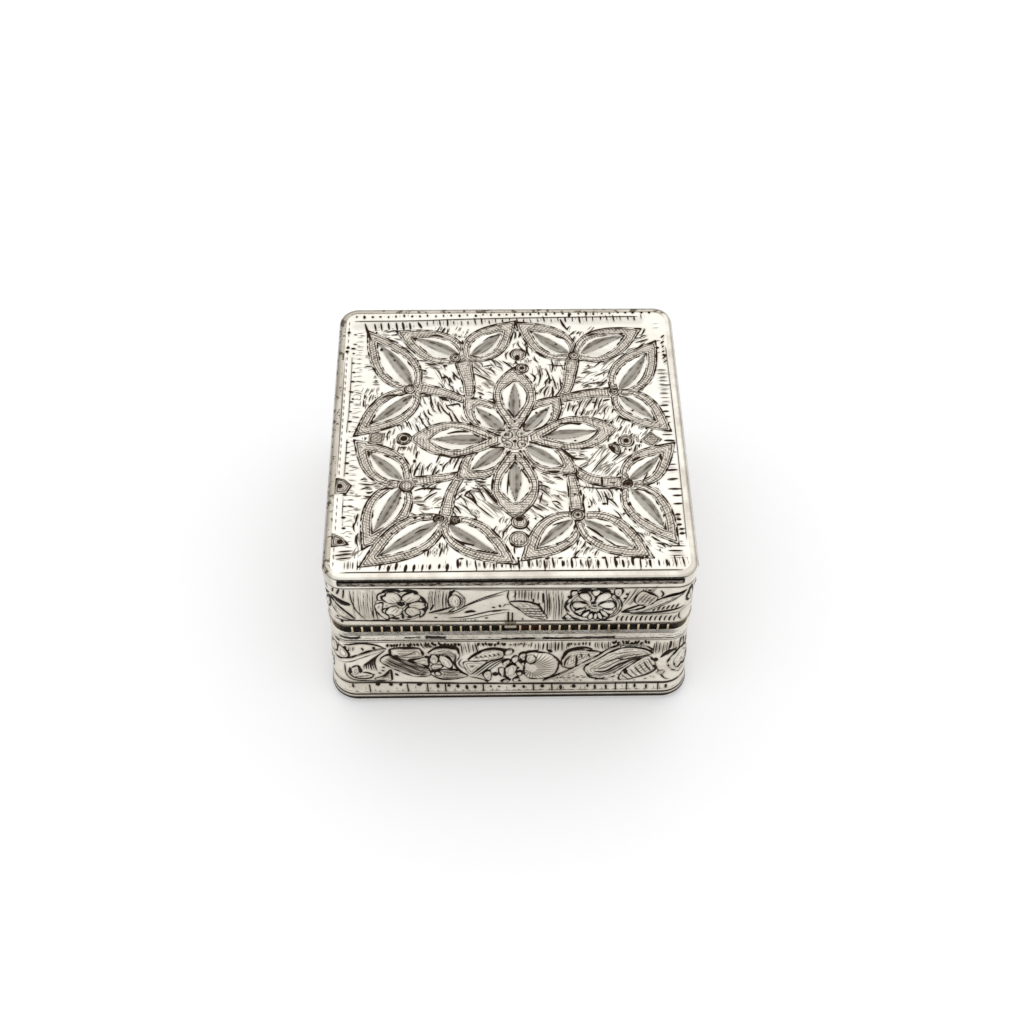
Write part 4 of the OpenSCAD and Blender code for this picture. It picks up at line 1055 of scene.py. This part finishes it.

# Lid rim.
# A drawn moulding with a rounded upper edge and a ledge inside for the plate. It is the most handled and the
# brightest part; its fillet over the band is painted brown, tarnish with painted shade, with a black line, a painted
# reflection, where it meets the sheet.


def rim_finish(name):
    """Polished silver over a brown fillet of tarnish and painted shade. A black line in the fillet, a painted
    reflection, turns up where the corners are filed clean.
    """
    made, tree, where, colour, dulling = silver(name, "eee9de", "c2baad", 0.1, 0.28)
    split = tree.nodes.new("ShaderNodeSeparateXYZ")
    tree.links.new(where, split.inputs[0])
    level = split.outputs["Z"]
    wide = add(tree, "Math", {0: split.outputs["X"]}, operation="ABSOLUTE")
    deep = add(tree, "Math", {0: split.outputs["Y"]}, operation="ABSOLUTE")
    along = add(tree, "Math", {0: wide, 1: deep}, operation="MINIMUM")
    straight = add(tree, "MapRange", {"Value": along, "From Min": 23.1, "From Max": 22.9})
    turned = add(tree, "Math", {0: along, 1: 22.95}, operation="SUBTRACT")
    turned = add(tree, "Math", {0: turned}, operation="ABSOLUTE")
    turned = add(tree, "MapRange", {"Value": turned, "From Min": 0.2, "From Max": 0.1})
    streaks = add(tree, "VectorMath", {0: where, 1: (1.5, 1.5, 3.2)}, operation="MULTIPLY")
    streaks = add(tree, "TexNoise", {"Vector": streaks, "Scale": 1.0, "Detail": 4.0, "Roughness": 0.7})
    # The fillet's brown is tarnish streaks and painted shade.
    fillet = add(tree, "MapRange", {"Value": level, "From Min": 29.6, "From Max": 29.5})
    brown = add(tree, "MapRange", {"Value": streaks, "From Min": 0.35, "From Max": 0.6, "To Min": 0.6, "To Max": 1.0})
    brown = add(tree, "Math", {0: brown, 1: fillet}, operation="MULTIPLY")
    brown = add(tree, "Math", {0: brown, 1: straight}, operation="MULTIPLY")
    above = add(tree, "MapRange", {"Value": level, "From Min": 28.35, "From Max": 28.55})
    brown = add(tree, "Math", {0: brown, 1: above}, operation="MULTIPLY")
    colour = add(tree, "MixRGB", {0: brown, 1: colour, 2: tint("52483b")})
    flecks = add(tree, "MapRange", {"Value": streaks, "From Min": 0.54, "From Max": 0.6})
    flecks = add(tree, "Math", {0: flecks, 1: brown}, operation="MULTIPLY")
    colour = add(tree, "MixRGB", {0: flecks, 1: colour, 2: tint("1e150e")})
    # These black lines are a painted reflection of the dark gap in front of the box.
    for low, high, mask in ((29.2, 29.62, straight), (28.6, 29.5, turned)):
        off = add(tree, "Math", {0: level, 1: (low + high) / 2}, operation="SUBTRACT")
        off = add(tree, "Math", {0: off}, operation="ABSOLUTE")
        line = add(tree, "MapRange", {"Value": off, "From Min": (high - low) / 2 + 0.04, "From Max": (high - low) / 2 - 0.04})
        line = add(tree, "Math", {0: line, 1: mask}, operation="MULTIPLY")
        colour = add(tree, "MixRGB", {0: line, 1: colour, 2: tint("140d08")})
    # Old polish has left specks on the top of the left and back sides.
    leftward = add(tree, "MapRange", {"Value": split.outputs["X"], "From Min": -23.4, "From Max": -23.9})
    backward = add(tree, "MapRange", {"Value": split.outputs["Y"], "From Min": 23.4, "From Max": 23.9})
    sides = add(tree, "Math", {0: leftward, 1: backward}, operation="MAXIMUM")
    specks = add(tree, "TexNoise", {"Vector": where, "Scale": 1.15, "Detail": 3.0, "Roughness": 0.6})
    specks = add(tree, "MapRange", {"Value": specks, "From Min": 0.54, "From Max": 0.6})
    specks = add(tree, "Math", {0: specks, 1: sides}, operation="MULTIPLY")
    upper = add(tree, "MapRange", {"Value": level, "From Min": 29.5, "From Max": 29.7})
    specks = add(tree, "Math", {0: specks, 1: upper}, operation="MULTIPLY")
    colour = add(tree, "MixRGB", {0: specks, 1: colour, 2: tint("2a2018")})
    # The left and back sides are also greyed all over.
    greyed = add(tree, "Math", {0: sides, 1: 0.45}, operation="MULTIPLY")
    colour = add(tree, "MixRGB", {0: greyed, 1: colour, 2: tint("8d8475")})
    return dress(made, tree, colour, dulling, streaks, 0.000012)


clothe("lid_rim", rim_finish("sterling silver, drawn, polished and handled"))
# Lid plate.
# A flat square of sheet let into the rim. An eight-petal rosette, four pairs of stems with almond leaves, rings
# and dots are chased and stippled, and the ground between is filled with short cuts of the graver.

def draw_lid_plate(plate):
    """The lid's rosette, leaves and ground, seen from above with the hinge at the top."""
    for points, first, last in [
        ([(-5.6, 6.0), (-5.6, 9.5), (-6.2, 12.6), (-6.5, 14.4)], 1.0, 2.3),
        ([(-5.8, 6.2), (-9.0, 7.8), (-13.0, 8.9)], 1.0, 1.8),
        ([(7.0, 6.0), (8.6, 8.5), (9.4, 12.0), (9.8, 15.3)], 1.1, 1.9),
        ([(7.2, 6.4), (11.5, 7.5), (15.8, 7.8)], 1.1, 1.7),
        ([(-6.6, -7.3), (-9.5, -8.0), (-14.6, -8.8)], 0.9, 1.7),
        ([(-6.7, -7.6), (-8.0, -10.5), (-8.8, -14.6)], 1.0, 1.6),
        ([(8.7, -6.2), (11.5, -8.4), (16.3, -9.2)], 1.2, 1.8),
        ([(8.6, -6.8), (9.0, -10.5), (9.3, -15.0)], 1.2, 1.9),
    ]:
        plate.stem(points, first, last)
    for root, tip, half, lean in [
        ((-5.9, 14.6), (-16.6, 20.4), 3.1, -0.15), ((-6.2, 14.3), (1.5, 22.4), 3.0, -0.1),
        ((-13.2, 8.2), (-20.9, 20.6), 3.2, -0.2), ((-12.8, 8.5), (-22.0, -0.3), 2.95, 0.0),
        ((10.3, 14.7), (1.3, 22.2), 3.0, 0.1), ((9.9, 14.9), (20.4, 20.6), 3.1, 0.3),
        ((15.6, 7.2), (22.4, 18.1), 3.1, -0.1), ((15.4, 8.0), (23.3, 0.2), 2.85, 0.1),
        ((-14.0, -9.1), (-21.9, -0.9), 2.95, 0.0), ((-14.5, -8.5), (-19.9, -20.2), 3.1, 0.1),
        ((-8.7, -14.7), (-20.2, -23.0), 3.1, 0.0), ((-9.4, -15.2), (0.9, -22.8), 2.9, -0.2),
        ((9.6, -14.4), (1.4, -22.2), 2.9, -0.1), ((9.0, -14.7), (19.2, -21.9), 3.0, 0.0),
        ((15.8, -9.5), (23.6, -1.8), 2.8, -0.1), ((16.1, -8.9), (22.7, -19.7), 3.0, 0.2),
    ]:
        plate.leaf(root, tip, half, lean=lean)
    for root, tip, half in [((0.4, -0.4), (-6.3, 6.9), 2.6), ((1.4, -0.6), (7.6, 7.0), 2.55),
                            ((0.4, -1.6), (-7.1, -8.1), 2.65), ((1.3, -1.6), (9.5, -7.2), 2.6)]:
        plate.leaf(root, tip, half, rim=0.95, back=1.3, swell=(1.0, 0.95), blade=0.5)
    for root, tip, half in [((0.9, -0.6), (1.1, 12.9), 3.05), ((0.9, -1.6), (0.8, -15.2), 3.25),
                            ((0.4, -1.1), (-13.9, -0.8), 3.2), ((1.4, -1.1), (15.6, 0.9), 3.1)]:
        plate.leaf(root, tip, half, rim=1.2, back=3.4, swell=(1.35, 0.95))
    plate.disc((0.9, -1.1), 2.1, line=0)
    for x, y in ((1.9, -0.1), (-0.1, -0.3), (2.0, -2.0), (-0.2, -2.1)):
        plate.disc((x, y), 0.45, line=0.1)
    for at, r, hole in [((1.7, 15.4), 1.15, 0), ((2.2, 12.6), 0.95, 0.35), ((-14.8, -0.8), 1.05, 0.5),
                        ((16.7, -1.5), 1.1, 0.4), ((1.35, -15.7), 1.15, 0), ((1.2, -18.6), 1.3, 0),
                        ((-7.6, 14.8), 0.8, 0.2), ((9.3, -14.6), 0.95, 0.25), ((-14.2, -9.3), 0.95, 0),
                        ((-9.7, -15.0), 0.7, 0.28), ((-7.5, -15.3), 0.65, 0.2), ((16.5, -9.2), 0.65, 0.34),
                        ((-14.2, 8.6), 0.8, 0), ((10.0, 15.1), 0.8, 0.15), ((15.6, 7.8), 0.7, 0.18)]:
        plate.disc(at, r, hole)
    for x, y, r in ((1.55, 14.75, 0.42), (1.3, -15.2, 0.5), (-14.9, -0.95, 0.3)):
        plate.dots((x, y), r=r)
    drop = plate.figure([(14.2, -2.2), (15.4, -2.1), (15.8, -3.2), (15.5, -4.0), (14.8, -3.4)], 0.24, tone=0.4)
    plate.cuts(0.5, ((14.5, -2.5), (15.0, -3.2)))
    for x, y, turn in ((-18.7, -0.7, 40), (20.3, -1.3, 2)):
        a = np.radians(turn + np.array([0, 90, 180, 270]))
        plate.figure(list(zip(x + 1.5 * np.cos(a), y + 1.5 * np.sin(a))), 0.12, comb=turn, tone=0.3, smooth=False)
    for points, x, y in ([(-24, -7.9), (-22.9, -8.1), (-21.8, -9.2), (-22.4, -10.5), (-24, -10.6)], -23.4, -9.3), \
            ([(-24, -17.4), (-22.6, -18.1), (-21.7, -19.3), (-24, -19.6)], -22.9, -18.8):
        plate.figure(points, 0.16, tone=0.36, smooth=False)
        plate.dots((x, y), r=0.38)
    # Shading cuts in and beside the leaves, the boldest first.
    plate.cuts(0.46, ((7.4, -2.7), (8.2, -3.6), (9.2, -4.6), (10.7, -4.75)), ((5.5, -6.85), (6.3, -7.0), (7.1, -6.9)),
               ((17.3, -5.1), (18.5, -4.4)), ((-10.0, 7.1), (-9.4, 6.8), (-8.5, 6.3)), ((15.9, 3.2), (16.7, 2.6), (17.7, 2.3)),
               ((4.4, 16.0), (5.0, 15.3), (5.9, 14.6)))
    plate.cuts(0.36, ((-11.6, 19.25), (-10.5, 19.5), (-9.4, 19.1)), ((-18.1, 7.0), (-16.9, 7.5), (-15.1, 7.4)),
               ((-8.7, 0.15), (-7.2, 0.5), (-5.6, 0.4)), ((7.2, 1.85), (8.9, 1.92), (10.3, 1.6)),
               ((-9.6, -3.6), (-8.2, -4.2), (-6.4, -4.35)), ((-13.1, -10.2), (-12.0, -9.8), (-10.8, -9.8), (-9.4, -9.95)),
               ((-7.8, -18.2), (-6.6, -19.0), (-4.8, -19.5)), ((-17.9, -10.0), (-17.0, -9.7), (-15.9, -9.7)),
               ((12.2, 19.2), (13.7, 19.7)), ((0.95, -3.8), (0.95, -4.8)), ((21.4, -3.9), (21.4, -5.1)),
               ((12.9, -7.9), (12.9, -9.5)), ((6.6, 9.0), (6.6, 6.9)), ((13.8, 6.1), (14.8, 6.4)),
               ((10.2, -2.8), (12.0, -2.65)), ((10.4, -16.5), (11.6, -17.4), (12.6, -18.4)), ((-12.3, 7.3), (-11.2, 7.25)),
               ((-8.7, 5.4), (-7.7, 5.6), (-7.1, 5.7), (-6.8, 5.1)), ((-18.1, 1.0), (-16.1, 1.6)))
    plate.cuts(0.24, ((-3.5, 18.2), (-2.4, 19.1), (-0.7, 19.6)), ((7.4, 18.95), (8.3, 18.8), (9.2, 18.2)), ((14.3, 19.6), (15.1, 19.55)),
               ((5.9, 13.4), (7.2, 13.1), (8.6, 13.1)), ((10.3, 14.05), (11.8, 14.1)), ((12.5, 13.7), (14.8, 13.8)),
               ((5.7, 12.7), (6.4, 10.1)), ((4.7, 13.1), (4.9, 11.0), (4.5, 9.1)), ((10.9, 9.0), (12.2, 9.5), (14.4, 9.8)),
               ((12.8, 10.9), (14.5, 11.8)), ((2.5, 3.0), (3.1, 3.7)), ((17.0, 6.8), (17.8, 5.9)), ((9.3, -9.4), (11.5, -9.9), (15.7, -10.2)),
               ((-12.9, -17.5), (-12.0, -16.9), (-11.0, -16.7)), ((5.7, -16.3), (7.4, -15.6)), ((12.9, -16.3), (13.9, -16.6)),
               ((-15.4, -2.4), (-14.3, -2.4)), ((-3.3, -7.95), (-2.5, -7.75)), ((-5.9, -8.25), (-5.1, -8.3)), ((-17.6, -3.8), (-16.8, -3.9)),
               ((-16.3, -3.95), (-15.4, -3.95)), ((-12.2, 2.2), (-11.2, 0.6)), ((-3.5, 13.0), (-2.0, 13.35)), ((-4.9, 9.0), (-4.6, 7.8)),
               ((-13.1, 12.6), (-11.8, 12.2)), ((-14.1, 14.75), (-13.2, 14.6)), ((-13.2, 14.4), (-11.9, 14.1)), ((-12.0, -20.4), (-10.7, -20.1)),
               ((12.6, -18.4), (13.6, -19.3), (14.6, -20.1)), ((-1.3, -2.0), (-2.8, -2.3)), ((0.0, -6.9), (-0.2, -9.4), (-0.3, -11.0)),
               ((17.2, -10.2), (18.6, -10.4), (19.8, -11.2)), ((-14.6, 6.9), (-15.2, 6.2)), ((18.6, -8.8), (19.4, -7.2)), ((4.6, -10.6), (4.1, -12.6)))
    plate.dots((-18.6, 16.6), (0.9, -1.45), (17.3, 19.6), (-13.2, -4.9), (-12.9, -14.8), (16.4, -12.8), (-9.2, 10.9), (-9.1, 13.2),
               (15.5, -10.3), (13.0, -12.7), (5.0, 15.3), r=0.26)
    plate.dots((-16.6, 14.4), (-4.85, 4.15), (-2.55, 3.65), (-0.45, -0.2), (4.1, 4.0), (5.5, 4.45), (-3.95, 7.05), (-0.15, -3.4), (0.97, 2.3),
               (-4.6, -16.5), (-15.0, -11.4), (-15.2, -4.4), (-12.8, -6.3), (-2.7, -0.7), (1.7, 20.4), (7.4, 17.5), (18.0, 4.3), (8.0, 5.5),
               (12.4, 5.8), (-3.9, 7.0), (-16.0, -17.4), (6.3, -19.4), (-11.8, -14.8), (2.1, -6.4), (9.0, -11.0), (-15.7, 1.7), (21.1, -14.7),
               (6.4, 10.2), (10.9, -13.2), (-22.4, 6.8), (9.5, -1.3), (-2.5, -0.75), r=0.18)
    plate.dots((4.75, 4.3), (-14.7, -5.2), (14.2, -11.9), (-19.3, -3.4), (-6.8, -5.4), (3.0, 16.1), (-20.3, 1.6), (7.6, -7.7), r=0.12)
    # Margins: cuts square to the frame, and the frame's own lines, which run a little out of true.
    plate.shade([(-22.4, 21.3), (-14, 21.7), (-6, 22.0), (20, 22.2)], 0.7, 0.2)
    plate.hatch((-19.8, 21.3), (1.08, 0.02), 6, (0.16, -1), 1.8, 0.34, ragged=0.15)
    plate.cuts(0.4, ((-21.3, 22.0), (-20.8, 20.2), (-20.2, 18.5)), ((-13.3, 22.2), (-12.7, 20.9)), ((9.6, 24.0), (9.6, 23.1)), ((8.2, 22.7), (8.6, 21.5), (9.2, 20.4)))
    plate.hatch((-12.0, 22.0), (1.05, 0.03), 32, (0.1, -1), 1.2, 0.22, ragged=0.35)
    plate.hatch((-22.6, 23.3), (1.2, 0.02), 38, (0.1, -1), 0.5, 0.34, ragged=0.4)
    plate.hatch((-17.4, -23.1), (1.12, 0.0), 9, (0.1, 1), 1.0, 0.36, ragged=0.25)
    plate.hatch((-7.0, -22.6), (1.16, 0.0), 27, (0.08, -1), 1.5, 0.3, ragged=0.3)
    plate.hatch((-6.6, -22.7), (2.3, 0.0), 13, (0.08, -1), 1.2, 0.14, ragged=0.4)
    plate.hatch((-6.6, -21.7), (1.9, 0.0), 14, (1, 0.1), 0.7, 0.3, ragged=0.5)
    plate.hatch((-22.2, -20.3), (0.0, -0.62), 3, (1, 0.1), 2.4, 0.24, ragged=0.2)
    plate.hatch((-22.2, -22.7), (0.62, 0.0), 4, (0.02, 1), 1.4, 0.2, ragged=0.2)
    for k in range(46):
        y = 19.8 - 0.88 * k
        a, b = plate.chance.uniform(-0.25, 0.25, 2)
        plate.scratch([(-22.5, y + a), (-21.9, y + 0.1), (-21.2, y + b)], 0.17)
    plate.hatch((-21.6, 19.4), (0.0, -2.3), 17, (1, -0.2), 0.9, 0.17, ragged=0.6)
    plate.hatch((-22.6, 19.6), (0.0, -1.9), 21, (1, -0.1), 0.5, 0.32, ragged=0.4)
    plate.hatch((22.9, 12.2), (0.0, -0.78), 9, (1, 0.04), 1.5, 0.2, ragged=0.3)
    plate.hatch((22.7, 5.2), (0.0, -1.1), 12, (1, 0.03), 1.3, 0.3, ragged=0.3)
    plate.cuts(0.34, ((22.0, -10.2), (23.8, -10.2)), ((22.5, -11.35), (23.8, -11.35)), ((22.5, -12.8), (23.8, -12.75)), ((22.0, -8.5), (23.5, -8.4)))
    plate.hatch((22.9, -14.7), (0.1, -0.8), 5, (1, 0.1), 0.6, 0.44, ragged=0.3)
    plate.hatch((22.2, -19.1), (0.0, -0.8), 4, (1, 0.0), 2.2, 0.24, ragged=0.2)
    plate.hatch((23.4, 18.8), (0.0, -1.0), 6, (0.8, 1), 0.7, 0.3, ragged=0.5)
    plate.dots((-23.6, 20.1), (-23.6, 17.0), (-23.7, 16.2), (-22.8, 16.8), (23.4, 15.1), (22.5, 16.6), (16.4, -21.8), (17.0, -21.7), (17.6, -21.8), (18.2, -21.7), r=0.26)
    for y in np.arange(22.4, -22.5, -1.2):
        plate.scratch([(-23.65, y), (-23.6, y - 0.9)], 0.2)
    plate.scratch([(-23.95, 15), (-23.9, 0), (-23.95, -7.6)], 0.24)
    for k in range(30):
        x = plate.chance.uniform(-21.8, 21.8)
        plate.scratch([(x, -21.9), (x + 0.2, -22.7), (x, -23.5)])
        plate.scratch([(21.9, x), (23.1, x + 0.1)])
    for points, wide in (([(-22.8, 22.45), (-14, 22.5), (-7, 22.75), (4, 23.0), (20.0, 23.15)], 0.2), ([(-22.6, -23.85), (0, -23.8), (23.0, -23.85)], 0.2),
                         ([(-22.9, 15.2), (-22.85, 6), (-22.95, 0.4)], 0.15), ([(-22.85, -0.8), (-22.9, -7.6)], 0.16), ([(-22.9, -11.0), (-22.7, -16.2)], 0.12),
                         ([(23.8, 17.0), (23.85, 0), (23.8, -19)], 0.16)):
        plate.stroke(points, wide, 0.02, False)
    # Ground: each patch is a middle, the way its cuts run, their length, spacing and bend.
    patches = [
        (-4.0, 10.5, -42, 2.8, 0.85, 0.1), (-3.6, 7.4, -38, 1.8, 0.8, 0.1), (-2.4, 12.9, -46, 2.4, 0.8, 0.2),
        (-11.6, 12.6, -8, 1.5, 0.85, 0.0), (-9.4, 11.4, -60, 2.6, 0.8, 0.2), (-7.6, 9.6, -62, 1.8, 0.7, 0.0),
        (-11.6, 4.4, -70, 2.2, 0.85, -0.2), (-8.2, 3.8, -62, 2.6, 0.85, -0.2), (-13.6, 1.7, -72, 1.9, 0.85, 0.1),
        (4.9, 11.4, -84, 3.0, 0.8, 0.5), (7.4, 11.2, -86, 2.4, 0.8, 0.2), (5.2, 8.2, 66, 2.0, 0.8, 0.2),
        (11.4, 10.6, 25, 1.8, 0.75, 0.1), (13.6, 12.6, 42, 2.2, 0.85, 0.2), (11.6, 12.8, 2, 1.6, 0.7, 0.0),
        (9.6, 4.6, 68, 2.0, 0.8, 0.1), (13.6, 4.4, 64, 2.4, 0.8, 0.1), (17.6, 1.2, 68, 1.7, 0.8, 0.0),
        (12.2, -5.2, 47, 3.6, 0.8, 0.1), (14.6, -5.8, 40, 2.8, 0.85, 0.1), (10.6, -3.8, 5, 1.6, 0.7, 0.0),
        (12.4, -11.8, -78, 2.0, 0.9, 0.1), (14.4, -13.0, -52, 2.4, 0.8, 0.1), (17.4, -18.6, -50, 1.6, 0.85, 0.2),
        (6.0, -10.4, -32, 2.6, 0.7, 0.15), (5.4, -8.6, -22, 2.0, 0.6, 0.1), (4.4, -14.0, -40, 1.9, 0.8, 0.0),
        (-2.6, -12.0, -54, 3.6, 0.85, 0.1), (-5.6, -12.6, -52, 2.8, 0.85, 0.2), (-5.0, -9.0, -4, 1.8, 0.6, 0.0),
        (-11.3, -12.3, 4, 1.8, 0.7, 0.0), (-11.2, -14.4, -15, 1.4, 0.75, 0.0), (-10.6, -11.2, 45, 2.2, 0.8, 0.1),
        (-11.4, -5.2, 76, 2.6, 0.82, 0.1), (-8.6, -5.9, 70, 2.2, 0.75, 0.1), (-6.4, -10.2, 50, 1.6, 0.6, 0.0),
        (-17.6, 1.4, 80, 1.2, 0.9, 0.0), (-17.0, -1.4, 85, 1.1, 0.9, 0.0), (18.6, -3.0, 75, 1.1, 0.8, 0.0),
        (-0.8, 17.2, 75, 1.8, 0.8, 0.2), (3.6, 17.0, -75, 1.8, 0.8, -0.2), (1.2, 19.6, 85, 1.5, 0.8, 0.0),
        (-0.9, -18.0, 60, 1.6, 0.8, 0.1), (3.1, -17.4, -40, 1.6, 0.8, 0.1), (1.2, -21.2, 85, 1.2, 0.8, 0.0),
        (-17.6, 19.6, 5, 1.2, 0.8, 0.0), (-15.2, 18.4, -20, 1.8, 0.8, 0.1), (21.4, 21.0, 60, 1.3, 0.8, 0.0),
        (19.4, 18.0, 30, 1.6, 0.75, 0.1), (-21.2, -17.0, 85, 1.4, 0.7, 0.2), (-17.6, -18.6, 45, 1.8, 0.75, 0.3),
        (21.0, -18.8, -35, 1.6, 0.8, 0.1), (-21.4, -4.8, 3, 1.4, 0.8, 0.0), (-21.4, -12.0, 3, 1.6, 0.7, 0.0),
        (-5.4, 21.4, 70, 1.3, 0.8, 0.0), (10.6, 21.0, 60, 1.3, 0.8, 0.0), (-9.0, -21.6, 85, 1.4, 0.85, 0.0),
        (9.8, -21.0, 60, 1.2, 0.8, 0.0),
    ]
    middle = np.array([p[:2] for p in patches])
    uniform = plate.chance.uniform
    for i, (px, py, turn, length, gap, bow) in enumerate(patches):
        tx, ty = np.cos(np.radians(turn)), np.sin(np.radians(turn))
        for row in np.arange(-7, 7.01, length * 1.12):
            for column in np.arange(-7, 7.01, gap * 0.88):
                along = row + uniform(-0.4, 0.4) * length
                aside = column + uniform(-0.14, 0.14)
                x = px + tx * along - ty * aside
                y = py + ty * along + tx * aside
                if abs(x) > 21.0 or not -21.2 < y < 20.7 or np.hypot(*(middle - (x, y)).T).argmin() != i:
                    continue
                if plate.free_at(x, y) < 0.1:
                    continue
                plate.ground_cut(x, y, turn, length, gap, bow)

PLATE_HALF, PLATE_LOW, PLATE_TOP = 24.05, 29.2, 29.9
PLATE_COUNT = 314
PLATE_CUT = 0.045


def plate_sheet(name, draw, seed):
    """The plate with round corners: its engraved top, its edge and its plain underside."""
    line = np.linspace(-PLATE_HALF, PLATE_HALF, PLATE_COUNT)
    x, y = np.meshgrid(line, line)
    radius = PLATE_HALF - CORNER
    a, b = (np.abs(x) - CORNER) / radius, (np.abs(y) - CORNER) / radius
    corner = (a > 0) & (b > 0)
    long, short = np.maximum(a, b), np.minimum(a, b)
    turn = pi / 4 * short / np.where(corner, long, 1)
    near, far = long * np.cos(turn), long * np.sin(turn)
    x = np.where(corner, np.sign(x) * (CORNER + radius * np.where(a > b, near, far)), x)
    y = np.where(corner, np.sign(y) * (CORNER + radius * np.where(a > b, far, near)), y)
    face = Engraving(line, line, x, y, seed)
    draw(face)
    depth = face.rise - PLATE_CUT * np.clip(0.6 - face.cut / 0.16, 0, 1)
    top = np.stack([x, y, PLATE_TOP + depth], 2)
    marks = {key: getattr(face, key) for key in MARKS}
    count = PLATE_COUNT
    grid = np.arange(count * count).reshape(count, count)
    loop = np.concatenate([grid[0, :-1], grid[:-1, -1], grid[-1, :0:-1], grid[:0:-1, 0]])
    under = top.reshape(-1, 3)[loop].copy()
    under[:, 2] = PLATE_LOW
    places = np.concatenate([top.reshape(-1, 3), under]) * MM
    quads = np.stack([grid[:-1, :-1], grid[:-1, 1:], grid[1:, 1:], grid[1:, :-1]], 2).reshape(-1, 4).tolist()
    lower = np.arange(count * count, count * count + len(loop))
    skirt = np.column_stack([loop, lower, np.roll(lower, -1), np.roll(loop, -1)]).tolist()
    mesh = bpy.data.meshes.new(name)
    mesh.from_pydata(places.tolist(), [], quads + skirt + [lower[::-1].tolist()])
    for key, value in marks.items():
        full = np.full(len(places), 0.0 if key in ("rake", "tone") else 1.0, np.float32)
        full[: value.size] = value.ravel()
        mesh.attributes.new(key, "FLOAT", "POINT").data.foreach_set("value", full)
    mesh.shade_smooth()
    mesh.set_sharp_from_angle(angle=radians(50))
    mesh.validate()
    piece = bpy.data.objects.new(name, mesh)
    bpy.context.scene.collection.objects.link(piece)
    return piece


def stippled(tree, where, mark, colour, pitted):
    """A stippled band: a hairline by its edge, and rows of punch marks 0.15 mm across, drawn at 0.4 mm to show."""
    deep = add(tree, "Math", {0: 0.0, 1: mark["grain"]}, operation="SUBTRACT")
    across = add(tree, "Math", {0: deep, 1: 2 * pi / 0.3}, operation="MULTIPLY")
    along = add(tree, "Math", {0: mark["rake"], 1: 2 * pi / 0.44}, operation="MULTIPLY")
    rows = add(tree, "Math", {0: across}, operation="COSINE")
    ticks = add(tree, "Math", {0: along}, operation="SINE")
    patches = add(tree, "TexNoise", {"Vector": where, "Scale": 0.8, "Detail": 4.0, "Roughness": 0.75})
    ticked = add(tree, "MapRange", {"Value": patches, "From Min": 0.42, "From Max": 0.56})
    rows = add(tree, "MapRange", {"Value": rows, "From Min": 0.0, "From Max": 0.9, "To Min": 0.0, "To Max": 0.6})
    ticks = add(tree, "MapRange", {"Value": ticks, "From Min": 0.0, "From Max": 0.7, "To Max": 0.85})
    ticks = add(tree, "Math", {0: ticks, 1: ticked}, operation="MULTIPLY")
    punched = add(tree, "Math", {0: rows, 1: ticks}, operation="MAXIMUM")
    body = add(tree, "MapRange", {"Value": deep, "From Min": 0.06, "From Max": 0.14})
    punched = add(tree, "Math", {0: punched, 1: body}, operation="MULTIPLY")
    colour = add(tree, "MixRGB", {0: body, 1: colour, 2: tint("e0d8cc")})
    colour = add(tree, "MixRGB", {0: punched, 1: colour, 2: tint(pitted)})
    blots = add(tree, "TexNoise", {"Vector": where, "Scale": 1.5, "Detail": 2.0, "Roughness": 0.6})
    blots = add(tree, "MapRange", {"Value": blots, "From Min": 0.58, "From Max": 0.7, "To Max": 0.8})
    blots = add(tree, "Math", {0: blots, 1: body}, operation="MULTIPLY")
    off = add(tree, "Math", {0: deep, 1: 0.3}, operation="SUBTRACT")
    off = add(tree, "Math", {0: off}, operation="ABSOLUTE")
    hair = add(tree, "MapRange", {"Value": off, "From Min": 0.12, "From Max": 0.05, "To Max": 0.8})
    blots = add(tree, "Math", {0: blots, 1: hair}, operation="MAXIMUM")
    colour = add(tree, "MixRGB", {0: blots, 1: colour, 2: tint("2e261d")})
    return colour, punched


plate_silver = engraved_silver("sterling silver, chased, stippled and bright cut", "f4f1e8", "e9e3d8", "746959", "32251a", 0.2, 0.32, 0.2, 0.2, stippled)
lid_plate = plate_sheet("lid_plate_engraved", draw_lid_plate, 5)
hold(lid_plate, "lid", "lid_plate", plate_silver)

bpy.context.view_layer.update()
